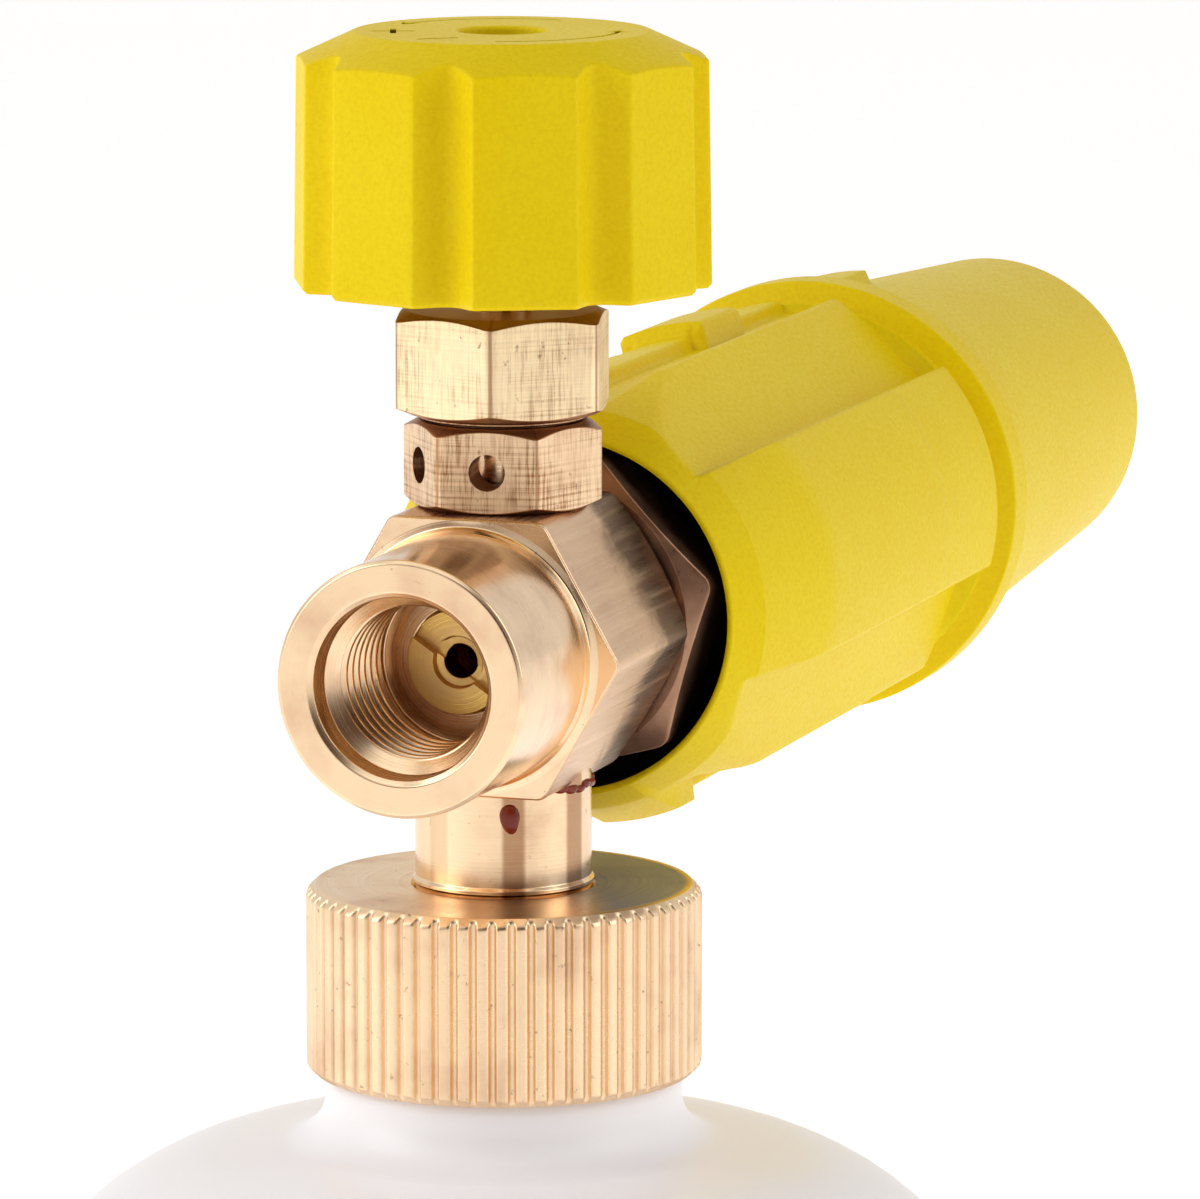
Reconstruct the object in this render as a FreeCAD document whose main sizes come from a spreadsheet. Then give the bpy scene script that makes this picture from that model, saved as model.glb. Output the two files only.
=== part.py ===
import FreeCAD, Part
import math
import os
import Sketcher
from FreeCAD import Placement, Rotation, Vector

# Snow-foam lance: brass injector head with a spray nozzle and dosing knob on a bottle.
# Frame: millimetres, +Z up, origin at the centre of the bottle's base, spray axis along +Y.
# Head pieces are drawn about the crossing of the spray axis and the vertical axis, then
# lifted to spray_height; bottle pieces are drawn from the base.

DIMENSIONS = {
    # bottle, measured up from its base
    "spray_height": 230.0, "bottle_radius": 42.0, "bottle_wall": 1.2, "foot_radius": 31.0,
    "foot_width": 4.5, "heel": 6.5, "push_up": 4.0, "push_up_radius": 26.0,
    "shoulder_base": 164.4, "shoulder_top": 189.9, "shoulder_neck_radius": 18.3,
    "collar_base": 193.3, "collar_top": 195.3, "collar_radius": 14.2,
    "neck_radius": 12.4, "neck_bore": 10.9, "neck_rim": 203.8,
    # cap, gasket and stem, measured from the spray axis
    "cap_radius": 15.7, "cap_top": -19.4, "cap_bottom": -34.4, "cap_roof": 3.0,
    "cap_bore": 13.7, "cap_chamfer": 0.7, "knurl_count": 64.0, "knurl_depth": 0.45,
    "knurl_width": 0.75, "knurl_top": -20.6,
    "gasket_top": -24.5, "gasket_thick": 1.65, "gasket_radius": 12.8, "gasket_bore": 5.2,
    "stem_radius": 7.0, "stem_top": -9.0, "stem_flange_top": -22.45, "stem_flange_radius": 12.6,
    "stem_shank": 5.0, "stem_shank_top": -6.5, "barb_radius": 3.2,
    "barb_end": -38.0, "liquid_bore": 1.9, "tube_wall": 1.2, "tube_top": -26.5, "tube_foot": 22.0,
    "strainer_radius": 7.5, "strainer_foot": 9.0, "strainer_top": 30.0, "strainer_slot": 1.2,
    "strainer_slot_base": 3.5, "strainer_slot_height": 6.0,
    # injector body, measured along the spray axis
    "body_af": 22.0, "body_front": -8.7, "body_rear": 10.2, "body_edge": 0.9,
    "boss_radius": 10.0, "boss_face": -24.0, "boss_chamfer": 0.5,
    "entry_radius": 7.1, "entry_end": -21.0, "thread_bore": 5.9, "thread_end": -12.2,
    "relief_radius": 6.6, "relief_end": -10.0, "floor_y": -9.6,
    "jet_radius": 4.15, "jet_front": -10.7, "jet_end": -4.6, "jet_cup": 2.05,
    "jet_cup_depth": 0.7, "jet_hole": 1.35, "jet_orifice": 0.6, "jet_throat": -6.4,
    "jet_slot": 1.25, "jet_slot_depth": 1.1,
    "jet_turn": 34.0, "jet_seal": -6.2,
    "ring_section": 0.9, "mixing_bore": 3.2, "shank_seat": 5.4, "shank_radius": 8.0,
    "floor_radius": 5.35, "throat_seat": 4.5, "throat_mouth": 3.6, "barb_valley": 2.8,
    # clearance between the pieces of one body
    "slack": 0.05,
    # dosing valve, measured up the vertical axis
    "valve_af": 14.0, "valve_base": 11.0, "valve_top": 17.8, "valve_turn": 39.0, "hex_edge": 0.6,
    "valve_spigot": 4.0, "valve_spigot_base": 4.4, "valve_bore": 3.0,
    "air_hole": 1.45, "air_level": 14.4, "first_hole": 9.0, "second_hole": -51.0,
    "gland_af": 16.0, "gland_base": 18.4, "gland_top": 26.5, "gland_turn": 13.2, "gland_bore": 2.55,
    "gland_thread": 5.0, "gland_cavity": 24.4, "spindle_radius": 2.5, "spindle_tip": 5.6,
    "needle_radius": 1.6, "needle_shoulder": 9.0, "spindle_top": 42.6, "spindle_groove": 21.0,
    "groove_width": 1.9, "groove_core": 1.75, "spindle_flat": 1.7, "flat_base": 33.0,
    # knob
    "knob_radius": 16.5, "knob_rim": 16.2, "knob_base": 28.35, "knob_shoulder": 46.3,
    "knob_top": 48.4, "knob_flat": 11.6, "knob_wall": 1.8, "knob_roof": 3.4, "knob_hub": 5.2,
    "knob_recess": 3.45, "knob_recess_floor": 44.6, "flute_count": 8.0, "flute_radius": 2.75,
    "flute_centre": 17.3, "flute_top": 46.0, "flute_turn": -41.8, "screw_head": 2.8,
    "screw_head_thick": 1.6, "screw_shank": 1.2, "screw_length": 7.0, "screw_slot": 0.8,
    # outlet tube and its filling
    "rear_af": 24.0, "rear_front": 11.0, "rear_end": 17.4, "rear_edge": 1.5, "rear_turn": -14.0,
    "tube_radius": 9.4, "outlet_end": 70.0, "mesh_bore": 7.6, "mesh_start": 26.0, "mesh_end": 58.0,
    "throat_radius": 1.8, "throat_end": 24.0, "clip_start": 58.2, "clip_end": 59.4,
    "clip_bore": 5.6, "seal_groove": 64.0, "seal_width": 2.2, "seal_core": 8.2,
    "sleeve_clip_start": 51.3, "sleeve_clip_end": 52.7, "sleeve_clip_radius": 11.4, "clip_core": 8.6,
    # grip sleeve
    "mouth_radius": 14.3, "mouth_y": 13.2, "mouth_edge": 17.0, "grip_nose": 14.9,
    "nose_radius": 16.4, "grip_chamfer_end": 29.5, "grip_radius": 18.4, "grip_valley": 15.8,
    "grip_end": 77.6,
    "bead_start": 80.0, "bead_radius": 19.0, "bead_end": 85.2, "grip_bearing": 9.46,
    "bearing_start": 24.0, "bearing_end": 51.0, "grip_bore": 15.0, "wide_rib": 29.3,
    "valley_angle": 33.0, "crest_angle": 65.5, "crest_radius": 18.6, "trough_angle": 70.0,
    "trough_radius": 16.4, "latch_half": 9.0, "latch_radius": 17.6, "grip_turn": 14.0,
    "tab_start": 13.2, "tab_ramp": 15.5, "tab_crest": 21.4, "tab_end": 26.0, "tab_half": 3.6,
    "tab_radius": 18.5, "catch_radius": 18.9, "catch_start": 52.5, "catch_end": 63.0, "catch_half": 4.0,
    # nozzle insert, jaws and front shroud
    "insert_start": 62.0, "insert_radius": 13.0, "insert_neck": 11.0, "insert_front": 96.0,
    "insert_ear": 7.0, "spray_bore": 3.0, "insert_socket": 9.46,
    "jaw_pivot_y": 99.0, "jaw_pivot_z": 5.6, "jaw_half_width": 6.0, "jaw_root": 3.7,
    "jaw_back": 7.6, "jaw_end": 117.0, "jaw_tip": 2.6, "jaw_tip_back": 4.4,
    "pin_radius": 0.9, "pin_clear": 0.96, "pin_half_length": 8.2,
    "shroud_start": 86.2, "shroud_rear": 17.2, "shroud_end": 139.4, "shroud_front": 14.2,
    "shroud_lip": 1.6, "shroud_wall": 2.0, "shroud_web": 79.4, "web_radius": 14.4,
    "shroud_collar": 13.08, "shroud_shoulder": 90.0, "marker_half": 4.0, "marker_end": 100.0,
    "marker_radius": 17.9,
}

# A hexagon's corner radius for its width across flats, as a factor of a sum.
HEX_CORNER = "0.57735*"

DOC = FreeCAD.newDocument("foam_lance")
SHEET = DOC.addObject("Spreadsheet::Sheet", "dims")
SUBPARTS = []


def fill_sheet():
    """Write every driving dimension into the sheet, one alias a row."""
    for row, (alias, number) in enumerate(DIMENSIONS.items(), start=1):
        SHEET.set(f"A{row}", alias)
        SHEET.set(f"B{row}", str(number))
        SHEET.setAlias(f"B{row}", alias)
    DOC.recompute()


def amount(text):
    """The value of a sum of aliases and numbers, such as 'cap_top - cap_roof'."""
    total, sign = 0.0, 1.0
    for word in text.split():
        if word in "+-":
            sign = 1.0 if word == "+" else -1.0
            continue
        scale, _, name = word.rpartition("*")
        factor = float(scale) if scale else 1.0
        total += sign * factor * (DIMENSIONS[name] if name in DIMENSIONS else float(name))
        sign = 1.0
    return total


def formula(text):
    """The same sum as an expression that reads the sheet."""
    words = []
    for word in text.split():
        scale, _, name = word.rpartition("*")
        cell = f"dims.{name}" if name in DIMENSIONS else name
        words.append(f"{scale} * {cell}" if scale else cell)
    return " ".join(words)


def bind(obj, prop, text):
    """Drive one property of an object from the sheet."""
    obj.setExpression(prop, formula(text))


def origin_plane(body, role):
    return next(item for item in body.Origin.OriginFeatures if item.Role == role)


def draw_outline(sketch, outline):
    """Closed outline: points (x, y), or (x, y, radius) for an arc that ends there."""
    count = len(outline)
    places = [Vector(amount(point[0]), amount(point[1]), 0) for point in outline]
    for index, end in enumerate(places):
        start = places[index - 1]
        radius = outline[index][2] if len(outline[index]) > 2 else 0.0
        if radius:
            sketch.addGeometry(round_edge(start, end, radius), False)
        else:
            sketch.addGeometry(Part.LineSegment(start, end), False)
    ends = [vertex_order(sketch.Geometry[index], places[index]) for index in range(count)]
    for index in range(count):
        sketch.addConstraint(coincident(index, ends[index][1], (index + 1) % count,
                                        ends[(index + 1) % count][0]))
    for index, point in enumerate(outline):
        pin_vertex(sketch, index, ends[index][1], point)
        if len(point) > 2:
            sketch.addConstraint(Sketcher.Constraint("Radius", index, abs(point[2])))


def round_edge(start, end, radius):
    """Arc from start to end; a positive radius turns left, a negative one turns right."""
    if radius < 0:
        start, end = end, start
    chord = end - start
    side = Vector(-chord.y, chord.x, 0).normalize()
    centre = (start + end) / 2 + side * math.sqrt(radius ** 2 - (chord.Length / 2) ** 2)
    first = math.atan2(start.y - centre.y, start.x - centre.x)
    last = math.atan2(end.y - centre.y, end.x - centre.x)
    circle = Part.Circle(centre, Vector(0, 0, 1), abs(radius))
    return Part.ArcOfCircle(circle, first, last if last > first else last + 2 * math.pi)


def vertex_order(edge, end):
    """Which of an edge's end points (1 or 2) starts it and which ends it."""
    ends_there = edge.EndPoint.distanceToPoint(end) < edge.StartPoint.distanceToPoint(end)
    return (1, 2) if ends_there else (2, 1)


def coincident(first, first_end, second, second_end):
    return Sketcher.Constraint("Coincident", first, first_end, second, second_end)


def pin_vertex(sketch, edge, edge_end, point):
    """Hold one vertex at coordinates read from the sheet."""
    for kind, text in (("DistanceX", point[0]), ("DistanceY", point[1])):
        value = amount(text)
        if abs(value) < 1e-9:
            line = -2 if kind == "DistanceX" else -1
            sketch.addConstraint(Sketcher.Constraint("PointOnObject", edge, edge_end, line))
            continue
        index = sketch.addConstraint(Sketcher.Constraint(kind, -1, 1, edge, edge_end, value))
        sketch.setExpression(f"Constraints[{index}]", formula(text))


def new_body(name, role, outline):
    """A body with one closed sketch on the named origin plane."""
    body = DOC.addObject("PartDesign::Body", name)
    sketch = body.newObject("Sketcher::SketchObject", name + "_outline")
    sketch.AttachmentSupport = [(origin_plane(body, role), "")]
    sketch.MapMode = "FlatFace"
    DOC.recompute()
    draw_outline(sketch, outline)
    DOC.recompute()
    return body, sketch


def turned_about_y(name, outline):
    """Turned about the spray axis; outline points are (place along Y, radius)."""
    body, sketch = new_body(name, "YZ_Plane", outline)
    turn = body.newObject("PartDesign::Revolution", name + "_turned")
    turn.Profile = sketch
    turn.ReferenceAxis = (sketch, ["H_Axis"])
    turn.Angle = 360
    sketch.Visibility = False
    DOC.recompute()
    return body


def turned_about_z(name, outline):
    """Turned about the vertical axis; outline points are (radius, height)."""
    body, sketch = new_body(name, "XZ_Plane", outline)
    turn = body.newObject("PartDesign::Revolution", name + "_turned")
    turn.Profile = sketch
    turn.ReferenceAxis = (sketch, ["V_Axis"])
    turn.Angle = 360
    DOC.recompute()
    return body


def rod(name, radius, start, length, axis="Z"):
    """A cylinder on the vertical or the spray axis."""
    solid = DOC.addObject("Part::Cylinder", name)
    bind(solid, "Radius", radius)
    bind(solid, "Height", length)
    lay_along(solid, axis, start)
    return solid


def hexagon(name, across_flats, start, length, axis="Z", turn="0"):
    """A hexagonal prism given by its width across flats."""
    solid = DOC.addObject("Part::Prism", name)
    solid.Polygon = 6
    solid.setExpression("Circumradius", f"({formula(across_flats)}) / sqrt(3)")
    bind(solid, "Height", length)
    lay_along(solid, axis, start, amount(turn))
    return solid


def lay_along(solid, axis, start, turn=0.0):
    """Point a solid's own Z along an axis of the frame and start it at a place on that axis."""
    spin = Rotation(Vector(0, 0, 1), turn)
    if axis == "Y":
        solid.Placement = Placement(Vector(0, amount(start), 0),
                                    Rotation(Vector(1, 0, 0), -90).multiply(spin))
        bind(solid, "Placement.Base.y", start)
    else:
        solid.Placement = Placement(Vector(0, 0, amount(start)), spin)
        bind(solid, "Placement.Base.z", start)


def block(name, corner, size):
    """A box from its lowest corner and its three sizes, each a sum of aliases."""
    solid = DOC.addObject("Part::Box", name)
    for prop, text in zip(("Length", "Width", "Height"), size):
        bind(solid, prop, text)
    for prop, text in zip(("x", "y", "z"), corner):
        bind(solid, "Placement.Base." + prop, text)
    return solid


def turned_block(name, rotation, corner, size):
    """A box turned about the frame's origin after it is set at its corner."""
    solid = DOC.addObject("Part::Box", name)
    for prop, text in zip(("Length", "Width", "Height"), size):
        bind(solid, prop, text)
    corner_place = Placement(Vector(*[amount(text) for text in corner]), Rotation())
    solid.Placement = Placement(Vector(), rotation).multiply(corner_place)
    return solid


def cut(name, base, *tools):
    result = base
    for number, tool in enumerate(tools):
        step = DOC.addObject("Part::Cut", name if number == 0 else f"{name}_{number}")
        step.Base = result
        step.Tool = tool
        result = step
    DOC.recompute()
    return result


def fuse(name, *pieces):
    result = DOC.addObject("Part::MultiFuse", name)
    result.Shapes = list(pieces)
    result.Refine = True
    DOC.recompute()
    return result


def common(name, base, tool):
    result = DOC.addObject("Part::Common", name)
    result.Base = base
    result.Tool = tool
    DOC.recompute()
    return result


def keep(solid, label, lift=True):
    """Name a finished sub-part and, for the head's pieces, lift it to the spray axis."""
    solid.Label = label
    if lift:
        bind(solid, "Placement.Base.z", "spray_height")
    SUBPARTS.append(solid)


# ---------------------------------------------------------------- bottle

def make_bottle():
    inner = "bottle_radius - bottle_wall"
    outline = [
        ("0", "push_up"), ("push_up_radius", "push_up"), ("foot_radius", "0"),
        ("foot_radius + foot_width", "0"), ("bottle_radius", "heel", 6.6),
        ("bottle_radius", "shoulder_base"), ("shoulder_neck_radius", "shoulder_top", 24.8),
        ("collar_radius", "collar_base", -3.9), ("collar_radius", "collar_top"),
        ("neck_radius", "collar_top + 0.4"), ("neck_radius", "neck_rim"), ("neck_bore", "neck_rim"),
        ("neck_bore", "collar_base"),
        ("shoulder_neck_radius", "shoulder_top - bottle_wall", 7.4),
        (inner, "shoulder_base", -23.6), (inner, "heel"),
        ("foot_radius + foot_width - 0.6", "bottle_wall", -5.6),
        ("foot_radius + 0.6", "bottle_wall"), ("push_up_radius + 0.6", "push_up + bottle_wall"),
        ("0", "push_up + bottle_wall"),
    ]
    keep(turned_about_z("Bottle", outline), "bottle", lift=False)


def make_pickup_tube():
    outline = [
        ("barb_radius", "tube_top"), ("barb_radius + tube_wall", "tube_top"),
        ("barb_radius + tube_wall", "tube_foot - spray_height"),
        ("barb_radius", "tube_foot - spray_height"),
    ]
    keep(turned_about_z("PickupTube", outline), "pickup_tube")


def make_strainer():
    foot = "strainer_foot - spray_height"
    top = "strainer_top - spray_height"
    sleeve = "barb_radius + tube_wall"
    shell = turned_about_z("StrainerShell", [
        ("0", foot), ("strainer_radius - 1", foot), ("strainer_radius", foot + " + 1"),
        ("strainer_radius", top + " - 4"), (sleeve + " + 1.2", top), (sleeve, top),
        (sleeve, "tube_foot - spray_height"), ("barb_valley", "tube_foot - spray_height"),
        ("barb_valley", foot + " + 2"), ("0", foot + " + 2"),
    ])
    slots = []
    for turn in (0, 60, 120):
        slots.append(turned_block(
            f"StrainerSlot{turn}", Rotation(Vector(0, 0, 1), turn),
            ("-1*strainer_radius - 1", "-0.5*strainer_slot", foot + " + strainer_slot_base"),
            ("2*strainer_radius + 2", "strainer_slot", "strainer_slot_height")))
    keep(cut("Strainer", shell, *slots), "suction_strainer")


# ---------------------------------------------------------------- cap and stem

def make_cap():
    shell = turned_about_z("CapShell", [
        ("stem_radius + 0.35", "cap_top"), ("cap_radius - cap_chamfer", "cap_top"),
        ("cap_radius", "cap_top - cap_chamfer"), ("cap_radius", "cap_bottom + 0.3"),
        ("cap_radius - 0.3", "cap_bottom"), ("cap_bore", "cap_bottom"),
        ("cap_bore", "cap_top - cap_roof"), ("stem_radius + slack", "cap_top - cap_roof"),
        ("stem_radius + slack", "cap_top - 0.4"),
    ])
    groove = block("KnurlGroove",
                   ("cap_radius - knurl_depth", "-0.5*knurl_width", "cap_bottom - 1"),
                   ("2", "knurl_width", "knurl_top - cap_bottom + 1"))
    grooves = DOC.addObject("Part::Feature", "KnurlGrooves")
    DOC.recompute()
    turns = [groove.Shape.copy() for _ in range(int(DIMENSIONS["knurl_count"]))]
    for number, shape in enumerate(turns):
        shape.rotate(Vector(0, 0, 0), Vector(0, 0, 1), 360.0 * number / len(turns))
    grooves.Shape = Part.makeCompound(turns)
    keep(cut("Cap", shell, grooves), "cap")


def make_gasket():
    bottom = "gasket_top - gasket_thick"
    outline = [("gasket_bore", "gasket_top"), ("gasket_radius", "gasket_top"),
               ("gasket_radius", bottom), ("gasket_bore", bottom)]
    keep(turned_about_z("Gasket", outline), "bottle_gasket")


def make_stem():
    outline = [
        ("liquid_bore", "stem_shank_top"), ("stem_shank", "stem_shank_top"),
        ("stem_shank", "stem_top"), ("stem_radius", "stem_top"),
        ("stem_radius", "stem_flange_top"),
        ("stem_flange_radius", "stem_flange_top"), ("stem_flange_radius", "gasket_top"),
        ("barb_radius", "gasket_top"), ("barb_radius", "barb_end + 1"),
        ("barb_valley", "barb_end"), ("liquid_bore", "barb_end"),
    ]
    keep(turned_about_z("Stem", outline), "stem")


# ---------------------------------------------------------------- injector body

def make_injector_body():
    length = "body_rear - body_front"
    bar = hexagon("BodyBar", "body_af", "body_front", length, "Y", "0")
    corner = HEX_CORNER + "body_af"
    envelope = turned_about_y("BodyEnvelope", [
        ("body_front", "0"), ("body_front", corner + " - body_edge"),
        ("body_front + 0.5", corner + " + slack"), ("body_rear - 0.8", corner + " + slack"),
        ("body_rear", corner + " - 1.5"), ("body_rear", "0"),
    ])
    boss = turned_about_y("Boss", [
        ("boss_face", "0"), ("boss_face", "boss_radius - boss_chamfer"),
        ("boss_face + boss_chamfer", "boss_radius"),
        ("body_front", "boss_radius"), ("body_front + 1", "boss_radius"), ("body_front + 1", "0"),
    ])
    blank = fuse("BodyBlank", common("BodyHex", bar, envelope), boss)
    passage = turned_about_y("BodyPassage", [
        ("boss_face - 1", "0"), ("boss_face - 1", "entry_radius + 1.3"),
        ("boss_face + 0.3", "entry_radius"), ("entry_end", "entry_radius"),
        ("entry_end", "thread_bore"), ("thread_end", "thread_bore"),
        ("thread_end", "relief_radius"), ("relief_end", "relief_radius"),
        ("relief_end", "floor_radius"), ("floor_y", "floor_radius"),
        ("floor_y", "jet_radius"), ("jet_end", "jet_radius"), ("jet_end", "mixing_bore"),
        ("shank_seat", "mixing_bore"), ("shank_seat", "shank_radius"),
        ("body_rear + 1", "shank_radius"), ("body_rear + 1", "0"),
    ])
    down = rod("StemSeat", "stem_shank", "stem_top - 5", "stem_shank_top - stem_top + 5")
    socket = rod("StemSocket", "stem_radius", "stem_top - 5", "5")
    suction = rod("SuctionBore", "liquid_bore", "stem_top", "-1*stem_top")
    up = rod("ValveSeat", "valve_spigot", "valve_spigot_base", "8")
    dosing = rod("DosingBore", "liquid_bore", "0", "6")
    body = cut("InjectorBody", blank, passage, down, socket, suction, up, dosing)
    keep(body, "injector_body")


def make_jet():
    jet = turned_about_y("JetTurned", [
        ("jet_front", "jet_cup"), ("jet_front", "jet_radius"), ("jet_end", "jet_radius"),
        ("jet_end", "jet_orifice"), ("jet_throat", "jet_orifice"),
        ("jet_throat - 0.6", "jet_hole"), ("jet_front + jet_cup_depth", "jet_hole"),
        ("jet_front + jet_cup_depth", "jet_cup"),
    ])
    slot = turned_block("JetSlot", Rotation(Vector(0, 1, 0), DIMENSIONS["jet_turn"]),
                        ("-1*jet_radius - 1", "jet_front - 1", "-0.5*jet_slot"),
                        ("2*jet_radius + 2", "jet_slot_depth + 1", "jet_slot"))
    groove = ring("JetGroove", "jet_radius", "jet_seal", "ring_section")
    keep(cut("Jet", jet, slot, groove), "inlet_jet")
    keep(common("JetSeal", ring("JetSealRing", "jet_radius", "jet_seal", "ring_section"),
                rod("JetSealLimit", "jet_radius", "floor_y", "jet_end - floor_y", "Y")),
         "jet_oring")


def ring(name, radius, place, section, axis="Y"):
    """A torus round an axis: centre-line radius and the section's diameter."""
    solid = DOC.addObject("Part::Torus", name)
    bind(solid, "Radius1", radius)
    bind(solid, "Radius2", "0.5*" + section)
    lay_along(solid, axis, place)
    return solid


# ---------------------------------------------------------------- dosing valve

def chamfered_hex(name, across_flats, base, top, turn, edge):
    """A hexagon with its corners turned off at both ends."""
    bar = hexagon(name + "Bar", across_flats, base, f"{top} - {base}", "Z", turn)
    corner = HEX_CORNER + across_flats
    envelope = turned_about_z(name + "Envelope", [
        ("0", base), (f"{corner} - 1.1", base), (f"{corner} + slack", f"{base} + {edge}"),
        (f"{corner} + slack", f"{top} - {edge}"), (f"{corner} - 1.1", top), ("0", top),
    ])
    return common(name, bar, envelope)


def make_valve_body():
    head = chamfered_hex("ValveHex", "valve_af", "valve_base", "valve_top", "valve_turn - 90",
                         "hex_edge")
    spigot = rod("ValveSpigot", "valve_spigot", "valve_spigot_base",
                 "valve_base - valve_spigot_base + 1")
    neck = rod("ValveNeck", "gland_thread", "valve_top - 1", "gland_cavity - valve_top + 0.95")
    holes = []
    for name, turn in (("first_hole", DIMENSIONS["first_hole"]),
                       ("second_hole", DIMENSIONS["second_hole"])):
        hole = rod("Air_" + name, "air_hole", "0", "valve_af + 4")
        across = Rotation(Vector(0, 0, 1), turn).multiply(Rotation(Vector(1, 0, 0), 90))
        start = across.multVec(Vector(0, 0, -amount("0.5*valve_af + 2")))
        hole.setExpression("Placement.Base.z", None)
        hole.Placement = Placement(start + Vector(0, 0, amount("air_level")), across)
        holes.append(hole)
    bore = turned_about_z("ValveBore", [
        ("0", "valve_spigot_base - 1"), ("liquid_bore", "valve_spigot_base - 1"),
        ("liquid_bore", "needle_shoulder"), ("valve_bore", "needle_shoulder + 0.6"),
        ("valve_bore", "gland_cavity + 1"), ("0", "gland_cavity + 1"),
    ])
    blank = fuse("ValveBlank", head, spigot, neck)
    keep(cut("ValveBody", blank, bore, *holes), "valve_body")


def make_gland_nut():
    nut = chamfered_hex("GlandHex", "gland_af", "gland_base", "gland_top", "gland_turn - 90",
                        "hex_edge")
    cavity = turned_about_z("GlandCavity", [
        ("0", "gland_base - 1"), ("gland_thread", "gland_base - 1"),
        ("gland_thread", "gland_cavity"), ("gland_bore", "gland_cavity"),
        ("gland_bore", "gland_top + 1"), ("0", "gland_top + 1"),
    ])
    keep(cut("GlandNut", nut, cavity), "gland_nut")


def make_spindle():
    spindle = turned_about_z("SpindleTurned", [
        ("0", "spindle_tip"), ("0.4", "spindle_tip"), ("needle_radius", "needle_shoulder + 1.6"),
        ("spindle_radius", "needle_shoulder + 2.6"), ("spindle_radius", "spindle_groove"),
        ("groove_core", "spindle_groove"), ("groove_core", "spindle_groove + groove_width"),
        ("spindle_radius", "spindle_groove + groove_width"), ("spindle_radius", "spindle_top"),
        ("0", "spindle_top"),
    ])
    flat = block("SpindleFlat", ("spindle_flat", "-4", "flat_base"), ("3", "8", "12"))
    thread = rod("ScrewHole", "screw_shank", "spindle_top - screw_length + 1.0", "9")
    keep(cut("Spindle", spindle, flat, thread), "spindle")
    seal = turned_about_z("SpindleSeal", [
        ("groove_core + 0.03", "spindle_groove + slack"),
        ("valve_bore - slack", "spindle_groove + slack"),
        ("valve_bore - slack", "spindle_groove + groove_width - slack"),
        ("groove_core + 0.03", "spindle_groove + groove_width - slack"),
    ])
    keep(seal, "spindle_oring")


# ---------------------------------------------------------------- knob

def make_knob():
    inner = "knob_radius - knob_wall - 1.6"
    blank = turned_about_z("KnobTurned", [
        ("0", "knob_base + 6"), ("knob_hub", "knob_base + 6"), ("knob_hub", "knob_top - knob_roof"),
        (inner, "knob_top - knob_roof - 1"), (inner, "knob_base"),
        ("knob_radius", "knob_base"), ("knob_rim", "knob_shoulder"),
        ("knob_flat", "knob_top"), ("0", "knob_top"),
    ])
    flutes = []
    step = 360.0 / DIMENSIONS["flute_count"]
    for number in range(int(DIMENSIONS["flute_count"])):
        flute = rod(f"Flute{number}", "flute_radius", "knob_base - 1", "flute_top - knob_base + 1")
        turn = math.radians(DIMENSIONS["flute_turn"] + step * number)
        bind(flute, "Placement.Base.x", f"{math.cos(turn):.6f}*flute_centre")
        bind(flute, "Placement.Base.y", f"{math.sin(turn):.6f}*flute_centre")
        flutes.append(flute)
    bore = rod("KnobBore", "spindle_radius", "knob_base", "spindle_top - knob_base")
    flat = block("KnobKey", ("spindle_flat", "-4", "flat_base"),
                 ("3", "8", "spindle_top - flat_base"))
    socket = cut("KnobSocket", bore, flat)
    recess = rod("KnobRecess", "knob_recess", "knob_recess_floor", "6")
    screw_way = rod("ScrewWay", "screw_shank", "spindle_top - 1", "6")
    knob = cut("Knob", blank, fuse("FluteTools", *flutes), socket, recess, screw_way)
    keep(knob, "knob")


def make_knob_screw():
    head = rod("ScrewHead", "screw_head", "knob_recess_floor", "screw_head_thick")
    shank = rod("ScrewShank", "screw_shank", "knob_recess_floor - screw_length", "screw_length")
    slot = block("ScrewSlot", ("-5", "-0.5*screw_slot", "knob_recess_floor + 0.8"),
                 ("10", "screw_slot", "2"))
    keep(cut("KnobScrew", fuse("ScrewBlank", head, shank), slot), "knob_screw")


# ---------------------------------------------------------------- outlet tube

def make_outlet_tube():
    bar = hexagon("RearBar", "rear_af", "rear_front", "rear_end - rear_front", "Y", "rear_turn")
    corner = HEX_CORNER + "rear_af"
    envelope = turned_about_y("RearEnvelope", [
        ("rear_front", "0"), ("rear_front", f"{corner} - rear_edge - 0.4"),
        ("rear_front + 1", f"{corner} + slack"), ("rear_end", f"{corner} + slack"),
        ("rear_end", "0"),
    ])
    pipe = turned_about_y("OutletPipe", [
        ("shank_seat", "0"), ("shank_seat", "shank_radius"), ("rear_front", "shank_radius"),
        ("rear_front", "tube_radius"), ("sleeve_clip_start", "tube_radius"),
        ("sleeve_clip_start", "clip_core"), ("sleeve_clip_end", "clip_core"),
        ("sleeve_clip_end", "tube_radius"), ("seal_groove", "tube_radius"),
        ("seal_groove", "seal_core"), ("seal_groove + seal_width", "seal_core"),
        ("seal_groove + seal_width", "tube_radius"), ("outlet_end", "tube_radius"),
        ("outlet_end", "0"),
    ])
    bore = turned_about_y("OutletBore", [
        ("shank_seat - 1", "0"), ("shank_seat - 1", "throat_seat"),
        ("throat_end", "throat_seat"), ("throat_end", "mesh_bore"),
        ("outlet_end + 1", "mesh_bore"), ("outlet_end + 1", "0"),
    ])
    blank = fuse("OutletBlank", common("RearHex", bar, envelope), pipe)
    keep(cut("OutletTube", blank, bore), "outlet_tube")


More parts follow.
